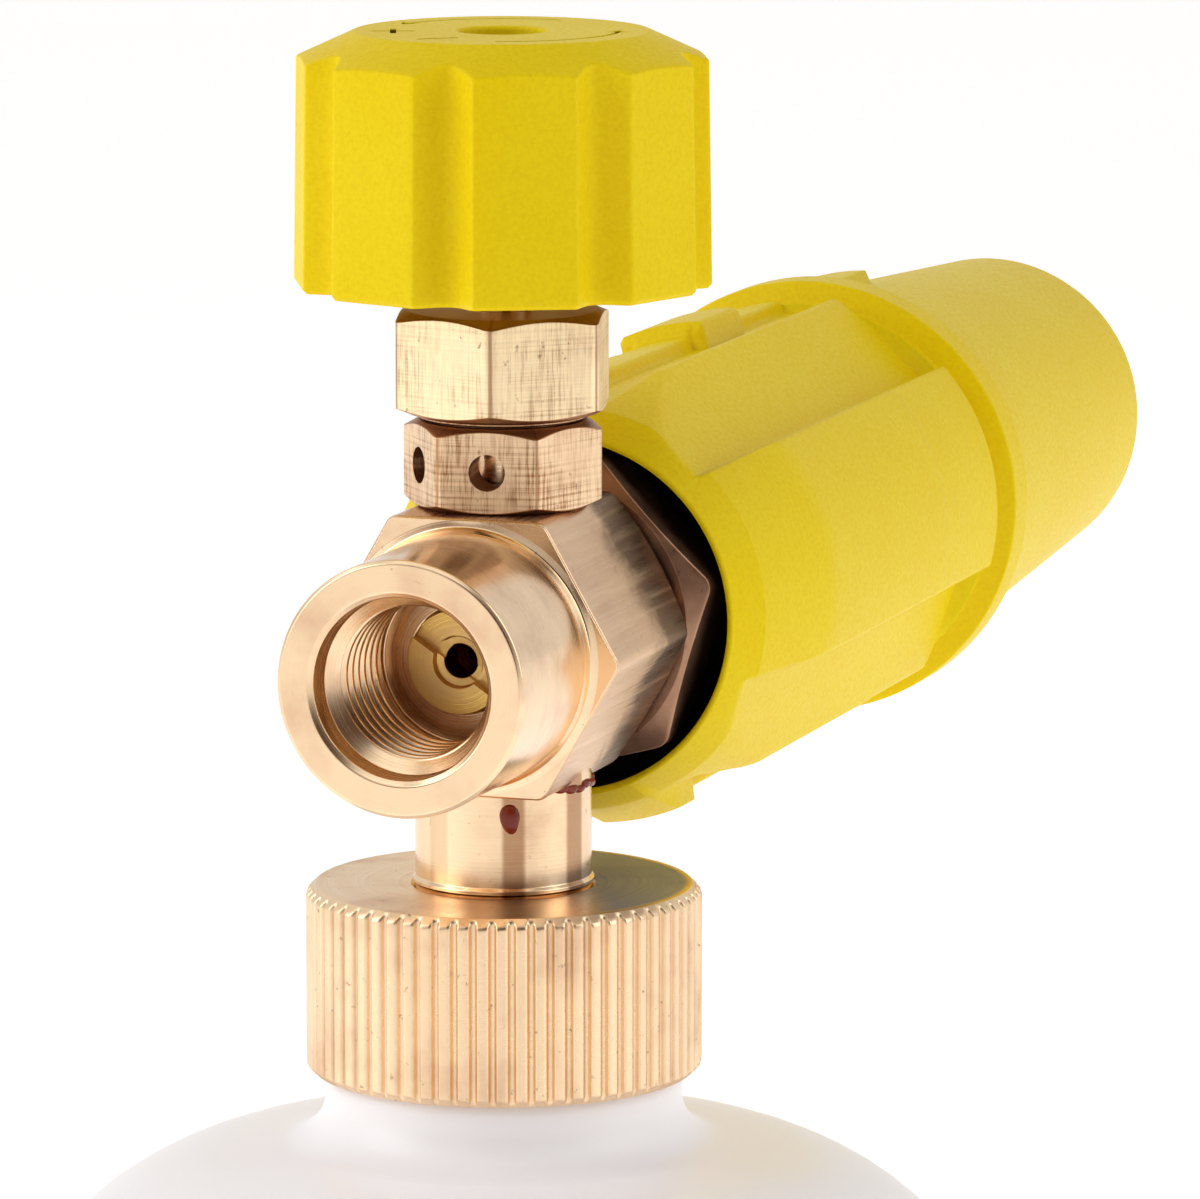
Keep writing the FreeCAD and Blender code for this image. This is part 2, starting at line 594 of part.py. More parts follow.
def make_tube_contents():
    outer = "throat_seat"
    throat = turned_about_y("VenturiThroat", [
        ("shank_seat", "mixing_bore"), ("shank_seat", outer), ("throat_end", outer),
        ("throat_end", "throat_mouth"), ("shank_seat + 9", "throat_radius"),
        ("shank_seat + 4", "throat_radius"),
    ])
    keep(throat, "venturi_throat")
    keep(rod("MeshPack", "mesh_bore", "mesh_start", "mesh_end - mesh_start", "Y"), "mesh_pack")
    clip = turned_about_y("MeshClip", [
        ("clip_start", "clip_bore"), ("clip_start", "mesh_bore"),
        ("clip_end", "mesh_bore"), ("clip_end", "clip_bore"),
    ])
    keep(clip, "mesh_clip")
    washer = turned_about_y("MeshWasher", [
        ("throat_end", "throat_mouth"), ("throat_end", "mesh_bore"),
        ("throat_end + 1.5", "mesh_bore"), ("throat_end + 1.5", "throat_mouth"),
    ])
    keep(washer, "mesh_washer")
    sleeve_clip = turned_about_y("SleeveClip", [
        ("sleeve_clip_start + slack", "clip_core"),
        ("sleeve_clip_start + slack", "sleeve_clip_radius"),
        ("sleeve_clip_end - slack", "sleeve_clip_radius"), ("sleeve_clip_end - slack", "clip_core"),
    ])
    keep(sleeve_clip, "sleeve_circlip")
    seal = turned_about_y("NozzleSeal", [
        ("seal_groove + 0.1", "seal_core"), ("seal_groove + 0.1", "tube_radius + 0.03"),
        ("seal_groove + seal_width - 0.1", "tube_radius + 0.03"),
        ("seal_groove + seal_width - 0.1", "seal_core"),
    ])
    keep(seal, "nozzle_oring")


# ---------------------------------------------------------------- grip sleeve

def polar(radius, angle):
    """A point of the grip's cross-section; the angle is in degrees from +X towards +Z."""
    turn = math.radians(angle)
    return Vector(radius * math.cos(turn), 0, radius * math.sin(turn))


def rib_section(centre_turn):
    """The grip's outline as (radius, angle) corners: wide rib, valley, crest, trough, latch strip."""
    quarter = [("grip_radius", DIMENSIONS["wide_rib"]), ("grip_valley", DIMENSIONS["valley_angle"]),
               ("crest_radius", DIMENSIONS["crest_angle"]),
               ("trough_radius", DIMENSIONS["trough_angle"]),
               ("trough_radius", 90 - DIMENSIONS["latch_half"]),
               ("latch_radius", 90 - DIMENSIONS["latch_half"] + 1)]
    half = quarter + [(name, 180 - angle) for name, angle in reversed(quarter)]
    whole = half + [(name, angle + 180) for name, angle in half]
    return [(DIMENSIONS[name], angle + centre_turn) for name, angle in whole]


def section_face(corners):
    """Close the corners into a face, with arcs where two neighbours share a radius."""
    edges = []
    for index, (radius, angle) in enumerate(corners):
        before_radius, before_angle = corners[index - 1]
        start = polar(before_radius, before_angle)
        end = polar(radius, angle)
        span = (angle - before_angle) % 360
        if abs(radius - before_radius) < 1e-9:
            middle = polar(radius, before_angle + span / 2)
            edges.append(Part.Arc(start, middle, end).toShape())
        else:
            edges.append(Part.LineSegment(start, end).toShape())
    return Part.Face(Part.Wire(Part.__sortEdges__(edges)))


def make_grip_sleeve():
    ribs = DOC.addObject("Part::Feature", "RibBlank")
    face = section_face(rib_section(DIMENSIONS["grip_turn"]))
    ribs.Shape = face.extrude(Vector(0, amount("bead_end - mouth_y"), 0))
    ribs.Placement = Placement(Vector(0, amount("mouth_y"), 0), Rotation())
    nose = turned_about_y("GripEnvelope", [
        ("mouth_y", "0"), ("mouth_y", "grip_nose"), ("mouth_edge", "nose_radius"),
        ("grip_chamfer_end", "grip_radius"), ("grip_chamfer_end + 2", "crest_radius"),
        ("bead_start", "crest_radius"), ("bead_start", "0"),
    ])
    bead = turned_about_y("GripBead", [
        ("grip_end", "0"), ("grip_end", "grip_valley"), ("grip_end", "grip_radius"),
        ("bead_start", "bead_radius"), ("bead_end - 1.5", "bead_radius"),
        ("bead_end", "bead_radius - 0.8"), ("bead_end", "0"),
    ])
    thumb = latch_tab("ThumbTab", "grip_turn - 90", "tab", [
        ("tab_start", "0"), ("tab_start", "grip_nose"), ("tab_ramp", "nose_radius"),
        ("tab_crest", "tab_radius"), ("tab_end", "tab_radius"), ("tab_end", "0"),
    ])
    catch = latch_tab("Catch", "grip_turn + 90", "catch", [
        ("catch_start", "0"), ("catch_start", "catch_radius"),
        ("catch_end", "catch_radius"), ("catch_end", "0"),
    ])
    bore = turned_about_y("GripBore", [
        ("mouth_y - 4", "0"), ("mouth_y - 4", "mouth_radius"),
        ("bearing_start - 3", "mouth_radius"), ("bearing_start", "grip_bearing + 1"),
        ("bearing_start", "grip_bearing"), ("bearing_end", "grip_bearing"),
        ("bearing_end", "insert_radius"), ("bead_start - 2", "insert_radius"),
        ("bead_start - 1", "grip_bore"), ("bead_end + 1", "grip_bore"), ("bead_end + 1", "0"),
    ])
    blank = fuse("GripBlank", common("GripRibs", ribs, nose), bead, thumb, catch)
    keep(cut("GripSleeve", blank, bore), "grip_sleeve")


def latch_tab(name, turn, size, outline):
    """A raised block on a latch strip under a turned outline; size begins its aliases."""
    start = size + "_start"
    tab = turned_block(name, Rotation(Vector(0, -1, 0), amount(turn) - 90),
                       (f"-1*{size}_half", start, "mouth_radius - 3"),
                       (f"2*{size}_half", f"{size}_end - {start}",
                        f"{size}_radius - mouth_radius + 3"))
    return common(name + "Round", tab, turned_about_y(name + "Limit", outline))


# ---------------------------------------------------------------- nozzle insert, jaws, shroud

def make_nozzle_insert():
    blank = turned_about_y("InsertTurned", [
        ("insert_start", "insert_socket"), ("insert_start", "insert_radius"),
        ("insert_front - 6", "insert_radius"), ("insert_front - 4", "insert_neck"),
        ("insert_front + insert_ear", "insert_neck"),
        ("insert_front + insert_ear", "spray_bore"), ("outlet_end + 4", "spray_bore"),
        ("outlet_end", "mesh_bore"), ("outlet_end", "insert_socket"),
    ])
    gap = block("JawGap", ("-1*jaw_half_width - 0.2", "insert_front", "-15"),
                ("2*jaw_half_width + 0.4", "20", "30"))
    holes = [pin_rod("InsertHole" + side, side, "pin_radius") for side in ("Upper", "Lower")]
    keep(cut("NozzleInsert", blank, gap, *holes), "nozzle_insert")


def pin_rod(name, side, radius):
    """A rod along X through one jaw's pivot."""
    sign = "" if side == "Upper" else "-1*"
    solid = DOC.addObject("Part::Cylinder", name)
    bind(solid, "Radius", radius)
    bind(solid, "Height", "2*pin_half_length")
    solid.Placement = Placement(Vector(), Rotation(Vector(0, 1, 0), 90))
    bind(solid, "Placement.Base.x", "-1*pin_half_length")
    bind(solid, "Placement.Base.y", "jaw_pivot_y")
    bind(solid, "Placement.Base.z", sign + "jaw_pivot_z")
    return solid


def make_jaw(side):
    """One lip of the fan nozzle, drawn in the YZ plane and padded to both sides."""
    sign = "" if side == "Upper" else "-1*"
    corners = [
        ("jaw_pivot_y - 2", "jaw_root"), ("jaw_pivot_y - 2", "jaw_back"),
        ("jaw_pivot_y + 3", "jaw_back"), ("jaw_end", "jaw_tip_back"), ("jaw_end", "jaw_tip"),
        ("jaw_pivot_y + 3", "jaw_root"),
    ]
    body, sketch = new_body(side + "JawBody", "YZ_Plane",
                            [(place, sign + height) for place, height in corners])
    pad = body.newObject("PartDesign::Pad", side + "JawPad")
    pad.Profile = sketch
    pad.Midplane = True
    bind(pad, "Length", "2*jaw_half_width")
    DOC.recompute()
    hole = pin_rod(side + "JawHole", side, "pin_clear")
    keep(cut(side + "Jaw", body, hole), side.lower() + "_jaw")


def make_jaw_pins():
    pins = [pin_rod(side + "Pin", side, "pin_radius") for side in ("Upper", "Lower")]
    group = DOC.addObject("Part::Compound", "JawPins")
    group.Links = pins
    DOC.recompute()
    keep(group, "jaw_pins")


def make_front_shroud():
    inner = "shroud_front - shroud_wall"
    shell = turned_about_y("ShroudTurned", [
        ("shroud_web", "shroud_collar"), ("shroud_web", "web_radius"),
        ("shroud_start", "web_radius"), ("shroud_start", "shroud_rear"),
        ("shroud_end - shroud_lip", "shroud_front"),
        ("shroud_end", "shroud_front - 0.9"), ("shroud_end", inner),
        ("shroud_shoulder + 2", "shroud_rear - shroud_wall - 0.3"),
        ("shroud_shoulder", "shroud_collar"),
    ])
    marker = turned_block("Marker", Rotation(Vector(0, -1, 0), DIMENSIONS["grip_turn"]),
                          ("-1*marker_half", "shroud_start", "web_radius + 1"),
                          ("2*marker_half", "marker_end - shroud_start",
                           "marker_radius - web_radius - 1"))
    keep(fuse("FrontShroud", shell, marker), "front_shroud")


# ---------------------------------------------------------------- build and export

def check_document():
    """Stop if any object failed or any sub-part is not a valid solid."""
    for item in DOC.Objects:
        if {"Invalid", "Error"} & set(item.State):
            raise RuntimeError(f"{item.Name}: {item.State}")
    for item in SUBPARTS:
        shape = item.Shape
        if shape.isNull() or not shape.isValid() or shape.Volume <= 0:
            raise RuntimeError(f"{item.Label}: shape is not a valid solid")


def export_subparts():
    os.makedirs("parts", exist_ok=True)
    for item in SUBPARTS:
        item.Shape.exportStep(f"parts/{item.Label}.step")
        print(f"{item.Label}: {len(item.Shape.Solids)} solid, {item.Shape.Volume:.1f} mm3")


fill_sheet()
make_bottle()
make_pickup_tube()
make_strainer()
make_cap()
make_gasket()
make_stem()
make_injector_body()
make_jet()
make_valve_body()
make_gland_nut()
make_spindle()
make_knob()
make_knob_screw()
make_outlet_tube()
make_tube_contents()
make_grip_sleeve()
make_nozzle_insert()
make_jaw("Upper")
make_jaw("Lower")
make_jaw_pins()
make_front_shroud()
DOC.recompute()
check_document()
export_subparts()
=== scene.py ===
import math

import bmesh
import bpy
import numpy as np
from mathutils import Matrix, Vector


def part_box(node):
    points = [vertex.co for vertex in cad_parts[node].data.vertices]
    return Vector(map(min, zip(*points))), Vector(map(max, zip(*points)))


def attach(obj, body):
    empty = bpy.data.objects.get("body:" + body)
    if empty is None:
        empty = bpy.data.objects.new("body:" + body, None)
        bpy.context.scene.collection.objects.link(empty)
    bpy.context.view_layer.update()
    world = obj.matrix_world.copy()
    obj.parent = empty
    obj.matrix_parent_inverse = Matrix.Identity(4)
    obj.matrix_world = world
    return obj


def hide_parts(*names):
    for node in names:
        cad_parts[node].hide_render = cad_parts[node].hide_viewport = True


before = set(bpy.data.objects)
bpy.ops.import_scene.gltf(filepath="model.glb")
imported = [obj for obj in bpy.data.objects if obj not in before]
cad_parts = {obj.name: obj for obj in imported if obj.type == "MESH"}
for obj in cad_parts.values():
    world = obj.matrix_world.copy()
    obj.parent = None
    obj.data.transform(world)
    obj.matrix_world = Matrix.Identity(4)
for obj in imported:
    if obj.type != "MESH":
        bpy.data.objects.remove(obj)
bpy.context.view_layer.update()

# Snow-foam lance on its bottle. Outlines are in millimetres; pieces of the head are drawn from
# the crossing of the spray axis and the vertical axis, and lifted by SPRAY_HEIGHT.
MM = 0.001
JET_LOW, JET_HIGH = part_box("inlet_jet")
SPRAY_HEIGHT = (JET_LOW.z + JET_HIGH.z) / 2 / MM
TAU = 2 * math.pi
GRIP_TURN = math.radians(14.0)
VALVE_TURN = math.radians(39.0 - 90.0)
GLAND_TURN = math.radians(13.2 - 90.0)
STEM_RADIUS = 7.0
CAP_TOP = -19.4
KNOB_TOP = 48.4
HOLD = 0.06


# ---------------------------------------------------------------- outlines

def arc_points(start, end, radius, step=4.0):
    """Points after start up to end on an arc; a positive radius turns left."""
    x0, y0 = start
    x1, y1 = end
    chord = math.hypot(x1 - x0, y1 - y0)
    side = math.copysign(1.0, radius)
    reach = math.sqrt(max(radius ** 2 - chord ** 2 / 4, 0.0))
    cx = (x0 + x1) / 2 - side * reach * (y1 - y0) / chord
    cy = (y0 + y1) / 2 + side * reach * (x1 - x0) / chord
    first = math.atan2(y0 - cy, x0 - cx)
    sweep = (math.atan2(y1 - cy, x1 - cx) - first) * side % TAU
    count = max(2, math.ceil(math.degrees(sweep) / step))
    turns = [first + side * sweep * k / count for k in range(1, count + 1)]
    return [(cx + abs(radius) * math.cos(a), cy + abs(radius) * math.sin(a)) for a in turns]


def curved(outline):
    """Corners (x, y), or (x, y, radius) for an arc ending there, as plain points."""
    points = []
    for index, corner in enumerate(outline):
        if len(corner) > 2:
            points += arc_points(outline[index - 1][:2], corner[:2], corner[2])
        else:
            points.append(corner)
    return points


def softened(points, fillet, closed=True, least_turn=14.0):
    """Round every sharp corner, with a holding point on each side that keeps the flats flat."""
    result = []
    count = len(points)
    for index, corner in enumerate(points):
        if not closed and index in (0, count - 1):
            result.append(corner)
            continue
        here = Vector(corner)
        back = Vector(points[index - 1]) - here
        ahead = Vector(points[(index + 1) % count]) - here
        turn = math.pi - back.angle(ahead)
        if math.degrees(turn) < least_turn:
            result.append(corner)
            continue
        reach = min(fillet * math.tan(turn / 2), 0.42 * back.length, 0.42 * ahead.length)
        back.normalize()
        ahead.normalize()
        middle = here + (back + ahead).normalized() * reach / math.sin(turn / 2)
        radius = reach / math.tan(turn / 2)
        first = here + back * reach - middle
        last = here + ahead * reach - middle
        steps = max(2, math.ceil(math.degrees(turn) / 18))
        result.append(tuple(here + back * (reach + min(HOLD, 0.2 * reach))))
        for k in range(steps + 1):
            way = first.slerp(last, k / steps) if first.length and last.length else first
            result.append(tuple(middle + way.normalized() * radius))
        result.append(tuple(here + ahead * (reach + min(HOLD, 0.2 * reach))))
    return result


def filled(points, longest, closed=True):
    """Add points so that no step is longer than the given length."""
    result = []
    last = len(points) if closed else len(points) - 1
    for index in range(last):
        start = Vector(points[index])
        end = Vector(points[(index + 1) % len(points)])
        count = max(1, math.ceil((end - start).length / longest))
        result += [tuple(start.lerp(end, k / count)) for k in range(count)]
    return result if closed else result + [points[-1]]


def smooth_min(first, second, blend):
    share = np.clip(0.5 + 0.5 * (second - first) / blend, 0, 1)
    return second * (1 - share) + first * share - blend * share * (1 - share)


def smooth_step(value, low, high):
    share = np.clip((value - low) / (high - low), 0, 1)
    return share * share * (3 - 2 * share)


def plateau(value, low, high, edge):
    """1 between low and high, falling to 0 over the edge width outside them."""
    return smooth_step(value, low - edge, low) * (1 - smooth_step(value, high, high + edge))


# ---------------------------------------------------------------- meshes

def mesh_object(name, vertices, faces):
    """A closed mesh with outward normals; vertices are in millimetres."""
    mesh = bpy.data.meshes.new(name)
    mesh.from_pydata(vertices, [], faces)
    work = bmesh.new()
    work.from_mesh(mesh)
    bmesh.ops.remove_doubles(work, verts=work.verts, dist=0.002)
    bmesh.ops.recalc_face_normals(work, faces=work.faces)
    bmesh.ops.scale(work, vec=(MM, MM, MM), verts=work.verts)
    work.to_mesh(mesh)
    work.free()
    mesh.polygons.foreach_set("use_smooth", [True] * len(mesh.polygons))
    piece = bpy.data.objects.new(name, mesh)
    bpy.context.scene.collection.objects.link(piece)
    return piece


def lathe(name, profile, axis, columns=192, shape=None, lift=SPRAY_HEIGHT):
    """Turn a profile of (place, radius) about an axis; shape(place, radius, angle) bends it.

    A profile that starts and ends on the axis is closed there by poles, any other is a loop.
    """
    place = np.array([p[0] for p in profile], float)[:, None]
    radius = np.array([p[1] for p in profile], float)[:, None]
    if isinstance(columns, int):
        columns = np.arange(columns) * TAU / columns
    angle = np.asarray(columns, float)[None, :]
    poles = radius[0, 0] < 1e-6
    spread = np.broadcast_to(radius, (len(profile), angle.size))
    along = np.broadcast_to(place, spread.shape)
    if shape:
        spread = shape(place, radius, angle)
        if isinstance(spread, tuple):
            along, spread = spread
        along = np.broadcast_to(along, spread.shape)
    across = (spread * np.cos(angle), spread * np.sin(angle))
    if axis == "Y":
        grid = np.stack([across[0], along, across[1] + lift], -1)
    else:
        grid = np.stack([across[0], across[1], along + lift], -1)
    rows, cols = grid.shape[:2]
    number = np.arange(rows * cols).reshape(rows, cols)
    if poles:
        number[0, :] = number[0, 0]
        number[-1, :] = number[-1, 0]
    faces = []
    pairs = [(i, i + 1) for i in range(rows - 1)] + ([] if poles else [(rows - 1, 0)])
    for low, high in pairs:
        for j in range(cols):
            k = (j + 1) % cols
            corners = [number[low, j], number[low, k], number[high, k], number[high, j]]
            ring = [int(c) for n, c in enumerate(corners) if c != corners[n - 1]]
            if len(ring) > 2:
                faces.append(ring)
    return mesh_object(name, grid.reshape(-1, 3).tolist(), faces)


def profile_of(outline, fillet=0.15, longest=0.8):
    """A ready profile for lathe from corner points."""
    points = curved(outline)
    open_ends = points[0][1] < 1e-6
    return filled(softened(points, fillet, not open_ends), longest, not open_ends)


def extruded(name, polygon, low, high):
    """A prism over a polygon of the XY plane between two heights."""
    count = len(polygon)
    vertices = [(x, y, height + SPRAY_HEIGHT) for height in (low, high) for x, y in polygon]
    faces = [list(range(count)), list(range(count, 2 * count))]
    faces += [[k, (k + 1) % count, count + (k + 1) % count, count + k] for k in range(count)]
    return mesh_object(name, vertices, faces)


def cut(piece, tools, sharp=30):
    """Cut tool pieces out of a piece and remove them; edges over the sharp angle stay sharp."""
    for tool in tools:
        change = piece.modifiers.new("cut", "BOOLEAN")
        change.operation = "DIFFERENCE"
        change.solver = "EXACT"
        change.object = tool
        graph = bpy.context.evaluated_depsgraph_get()
        result = bpy.data.meshes.new_from_object(piece.evaluated_get(graph))
        piece.modifiers.clear()
        piece.data = result
        bpy.data.objects.remove(tool)
    piece.data.polygons.foreach_set("use_smooth", [True] * len(piece.data.polygons))
    piece.data.set_sharp_from_angle(angle=math.radians(sharp))
    return piece


def hex_angles(turn, per_flat=32):
    """Column angles round a hexagon, closer together at its corners."""
    steps = (1 - np.cos(np.pi * np.arange(per_flat) / per_flat)) / 2
    flats = turn + np.arange(6)[:, None] * np.pi / 3 + steps[None, :] * np.pi / 3
    return flats.ravel()


def hex_radius(angle, across_flats, turn, corner_round=0.16):
    """Radius of a hexagon with a corner at the turn angle and its corners slightly rounded."""
    off_flat = (angle - turn) % (math.pi / 3) - math.pi / 6
    sharp = across_flats / 2 / np.cos(off_flat)
    return smooth_min(sharp, across_flats / math.sqrt(3) - corner_round, 0.16)


def place_piece(piece, body, slot, look, *nodes):
    """Give a piece its material, its body and the CAD nodes that it stands for."""
    piece.data.materials.clear()
    for item in look if isinstance(look, (list, tuple)) else [look]:
        piece.data.materials.append(item)
    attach(piece, body)
    if nodes:
        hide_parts(*nodes)
    return piece


# ---------------------------------------------------------------- material nodes

class Look:
    """A principled material built from a few named steps."""

    def __init__(self, name, **constants):
        material = bpy.data.materials.new(name)
        material.use_nodes = True
        self.open(material)
        for socket, value in constants.items():
            self.shader.inputs[socket.replace("_", " ")].default_value = value

    def open(self, material):
        self.material = material
        self.tree = material.node_tree
        self.shader = self.tree.nodes["Principled BSDF"]
        self.point = self.node("ShaderNodeTexCoord").outputs["Object"]

    @classmethod
    def of(cls, material):
        """A finished material, opened again to add to it."""
        look = cls.__new__(cls)
        look.open(material)
        return look

    def colour_so_far(self):
        return self.shader.inputs["Base Color"].links[0].from_socket

    def node(self, kind, links=None, **settings):
        item = self.tree.nodes.new(kind)
        for key, value in settings.items():
            setattr(item, key, value)
        for key, value in (links or {}).items():
            self.feed(item.inputs[key], value)
        return item

    def feed(self, socket, value):
        if isinstance(value, bpy.types.NodeSocket):
            self.tree.links.new(value, socket)
        else:
            socket.default_value = value

    def math(self, operation, first, second=0.0, third=None):
        links = {0: first, 1: second}
        if third is not None:
            links[2] = third
        return self.node("ShaderNodeMath", links, operation=operation).outputs[0]

    def split(self, vector):
        item = self.node("ShaderNodeSeparateXYZ", {0: vector})
        return item.outputs[0], item.outputs[1], item.outputs[2]

    def join(self, x, y, z):
        return self.node("ShaderNodeCombineXYZ", {0: x, 1: y, 2: z}).outputs[0]

    def noise(self, vector, scale, detail=2.0, roughness=0.5, distortion=0.0):
        item = self.node("ShaderNodeTexNoise", {"Vector": vector, "Scale": scale,
                                                "Detail": detail, "Roughness": roughness,
                                                "Distortion": distortion})
        return item.outputs["Fac"]

    def range(self, value, low, high, to_low=0.0, to_high=1.0):
        item = self.node("ShaderNodeMapRange", {0: value, 1: low, 2: high, 3: to_low, 4: to_high},
                         interpolation_type="SMOOTHSTEP")
        return item.outputs[0]

    def mix(self, share, first, second, blend="MIX"):
        item = self.node("ShaderNodeMix", data_type="RGBA", blend_type=blend)
        self.feed(item.inputs["Factor"], share)
        self.feed(item.inputs[6], first)
        self.feed(item.inputs[7], second)
        return item.outputs[2]

    def bump(self, height, distance, strength):
        item = self.node("ShaderNodeBump", {"Height": height, "Distance": distance,
                                            "Strength": strength})
        return item.outputs["Normal"]

    def pointiness(self):
        return self.node("ShaderNodeNewGeometry").outputs["Pointiness"]

    def turned(self, axis):
        """(radius, place along the axis) of the point, in metres."""
        x, y, z = self.split(self.point)
        z = self.math("SUBTRACT", z, SPRAY_HEIGHT * MM)
        first, second, along = (x, z, y) if axis == "Y" else (x, y, z)
        squares = self.math("ADD", self.math("MULTIPLY", first, first),
                            self.math("MULTIPLY", second, second))
        return self.math("SQRT", squares), along

    def finish(self, colour=None, roughness=None, normal=None):
        if colour is not None:
            self.feed(self.shader.inputs["Base Color"], colour)
        if roughness is not None:
            self.feed(self.shader.inputs["Roughness"], roughness)
        if normal is not None:
            self.feed(self.shader.inputs["Normal"], normal)
        return self.material


BRASS = (0.94, 0.69, 0.44, 1)
BRASS_CREAM = (1.0, 0.80, 0.50, 1)
BRASS_ROSE = (0.62, 0.37, 0.23, 1)
BRASS_BROWN = (0.34, 0.15, 0.06, 1)
BRASS_DARK_BROWN = (0.11, 0.05, 0.025, 1)
YELLOW = (0.84, 0.62, 0.002, 1)
YELLOW_DEEP = (0.70, 0.44, 0.002, 1)
YELLOW_PALE = (0.86, 0.72, 0.02, 1)


def brass_look(name, axis, tint=BRASS, rough=0.2, lines=1.0, cross=0.0, painted_reflection_bands=(), corner=None):
    """Turned brass with fine rings about the axis and faint tarnish.

    cross adds the cutter's hatching and painted dark reflections on a nut's chamfers, bands are
    streaks of painted dark reflection (azimuth, half width, strength) down a shaft, and corner is
    the azimuth of a nut's edge, along which a dark reflection line is painted.
    """
    look = Look(name, Metallic=1.0)
    radius, along = look.turned(axis)
    x, y, z = look.split(look.point)
    rings = look.noise(look.join(radius, along, 0.0), 9000.0, 3.0, 0.6)
    wide_rings = look.noise(look.join(radius, along, 7.0), 1500.0, 2.0)
    specks = look.noise(look.point, 1400.0, 3.0, 0.6)
    tarnish = look.noise(look.point, 130.0, 4.0, 0.6)
    colour = look.mix(look.range(tarnish, 0.45, 0.75, 0.0, 0.55), tint, BRASS_ROSE)
    colour = look.mix(look.range(specks, 0.64, 0.76, 0.0, 0.6), colour, BRASS_DARK_BROWN)
    # Painted reflections: dark brown streaks down a shaft, standing in for the dark surroundings it
    # mirrors.
    for azimuth, half_width, strength in painted_reflection_bands:
        turn = math.radians(azimuth)
        facing = look.math("ADD", look.math("MULTIPLY", x, math.cos(turn)),
                           look.math("MULTIPLY", y, math.sin(turn)))
        share = look.range(look.math("DIVIDE", facing, radius),
                           math.cos(math.radians(half_width + 4)),
                           math.cos(math.radians(half_width)), 0.0, strength)
        colour = look.mix(share, colour, BRASS_BROWN)
    if cross:
        upright = look.noise(look.join(x, y, look.math("MULTIPLY", z, 0.05)), 4600.0, 3.0, 0.75)
        level = look.noise(look.join(0.0, 3.0, z), 3600.0, 3.0, 0.7)
        patch = look.noise(look.point, 300.0, 2.0)
        marks = look.math("ADD", look.range(upright, 0.45, 0.62),
                          look.range(level, 0.45, 0.62, 0.0, 0.7))
        marks = look.math("MULTIPLY", marks, look.range(patch, 0.36, 0.62, 0.3, 1.0))
        colour = look.mix(look.math("MULTIPLY", marks, cross), colour, BRASS_BROWN)
        rings = look.math("ADD", upright, look.math("MULTIPLY", level, 0.7))
        # Painted reflection: chamfers, whose normals tilt up or down, are coloured brown as if
        # mirroring darker surroundings.
        normal = look.node("ShaderNodeTexCoord").outputs["Normal"]
        tilt = look.math("ABSOLUTE", look.split(normal)[2])
        colour = look.mix(look.range(tilt, 0.2, 0.45, 0.0, 0.8), colour, BRASS_BROWN)
    if corner is not None:
        # Painted reflection: a thin dark brown line along each corner of the nut.
        turn = look.math("ARCTAN2", y, x)
        sixth = look.math("DIVIDE", look.math("SUBTRACT", turn, corner), math.pi / 3)
        off = look.math("ABSOLUTE", look.math("SUBTRACT", sixth, look.math("ROUND", sixth)))
        colour = look.mix(look.range(off, 0.022, 0.008, 0.0, 0.7), colour, BRASS_BROWN)
    rough_map = look.math("ADD", look.range(rings, 0.3, 0.75, rough, rough + 0.14),
                          look.range(tarnish, 0.4, 0.8, 0.0, 0.1))
    height = look.math("ADD", rings, look.math("MULTIPLY", wide_rings, 0.7))
    return look.finish(colour, rough_map, look.bump(height, 4e-6, 0.9 * lines))


def jet_look():
    """Golden brass with painted shade darkening its bore."""
    material = brass_look("jet_gold", "Y", (0.86, 0.55, 0.16, 1), 0.24, 2.0)
    look = Look.of(material)
    radius, along = look.turned("Y")
    # Painted shade: the jet's bore is coloured dark brown.
    bore = look.math("MULTIPLY", look.range(radius, 0.00145, 0.00134),
                     look.range(along, -0.0100, -0.0093))
    return look.finish(look.mix(bore, look.colour_so_far(), (0.22, 0.07, 0.02, 1)))


def cap_look():
    """The cap's brass, with a painted blue reflection on one side of its turned top."""
    material = brass_look("cap_brass", "Z", BRASS, 0.26)
    look = Look.of(material)
    x, y, z = look.split(look.point)
    top = look.range(z, (SPRAY_HEIGHT + CAP_TOP - 0.1) * MM,
                     (SPRAY_HEIGHT + CAP_TOP - 0.02) * MM)
    side = look.range(look.math("ADD", x, look.math("MULTIPLY", y, 0.6)), 0.003, 0.0085)
    radius = look.turned("Z")[0]
    inside = look.range(radius, 0.0149, 0.0142)
    share = look.math("MULTIPLY", look.math("MULTIPLY", top, side), inside)
    # Painted reflection: one side of the turned top is tinted blue and made less metallic, standing in
    # for a blue light that it mirrors.
    look.feed(look.shader.inputs["Metallic"], look.math("MULTIPLY_ADD", share, -0.8, 1.0))
    painted_blue_reflection = look.mix(look.math("MULTIPLY", share, 0.85), look.colour_so_far(),
                     (0.035, 0.11, 0.26, 1))
    return look.finish(painted_blue_reflection)


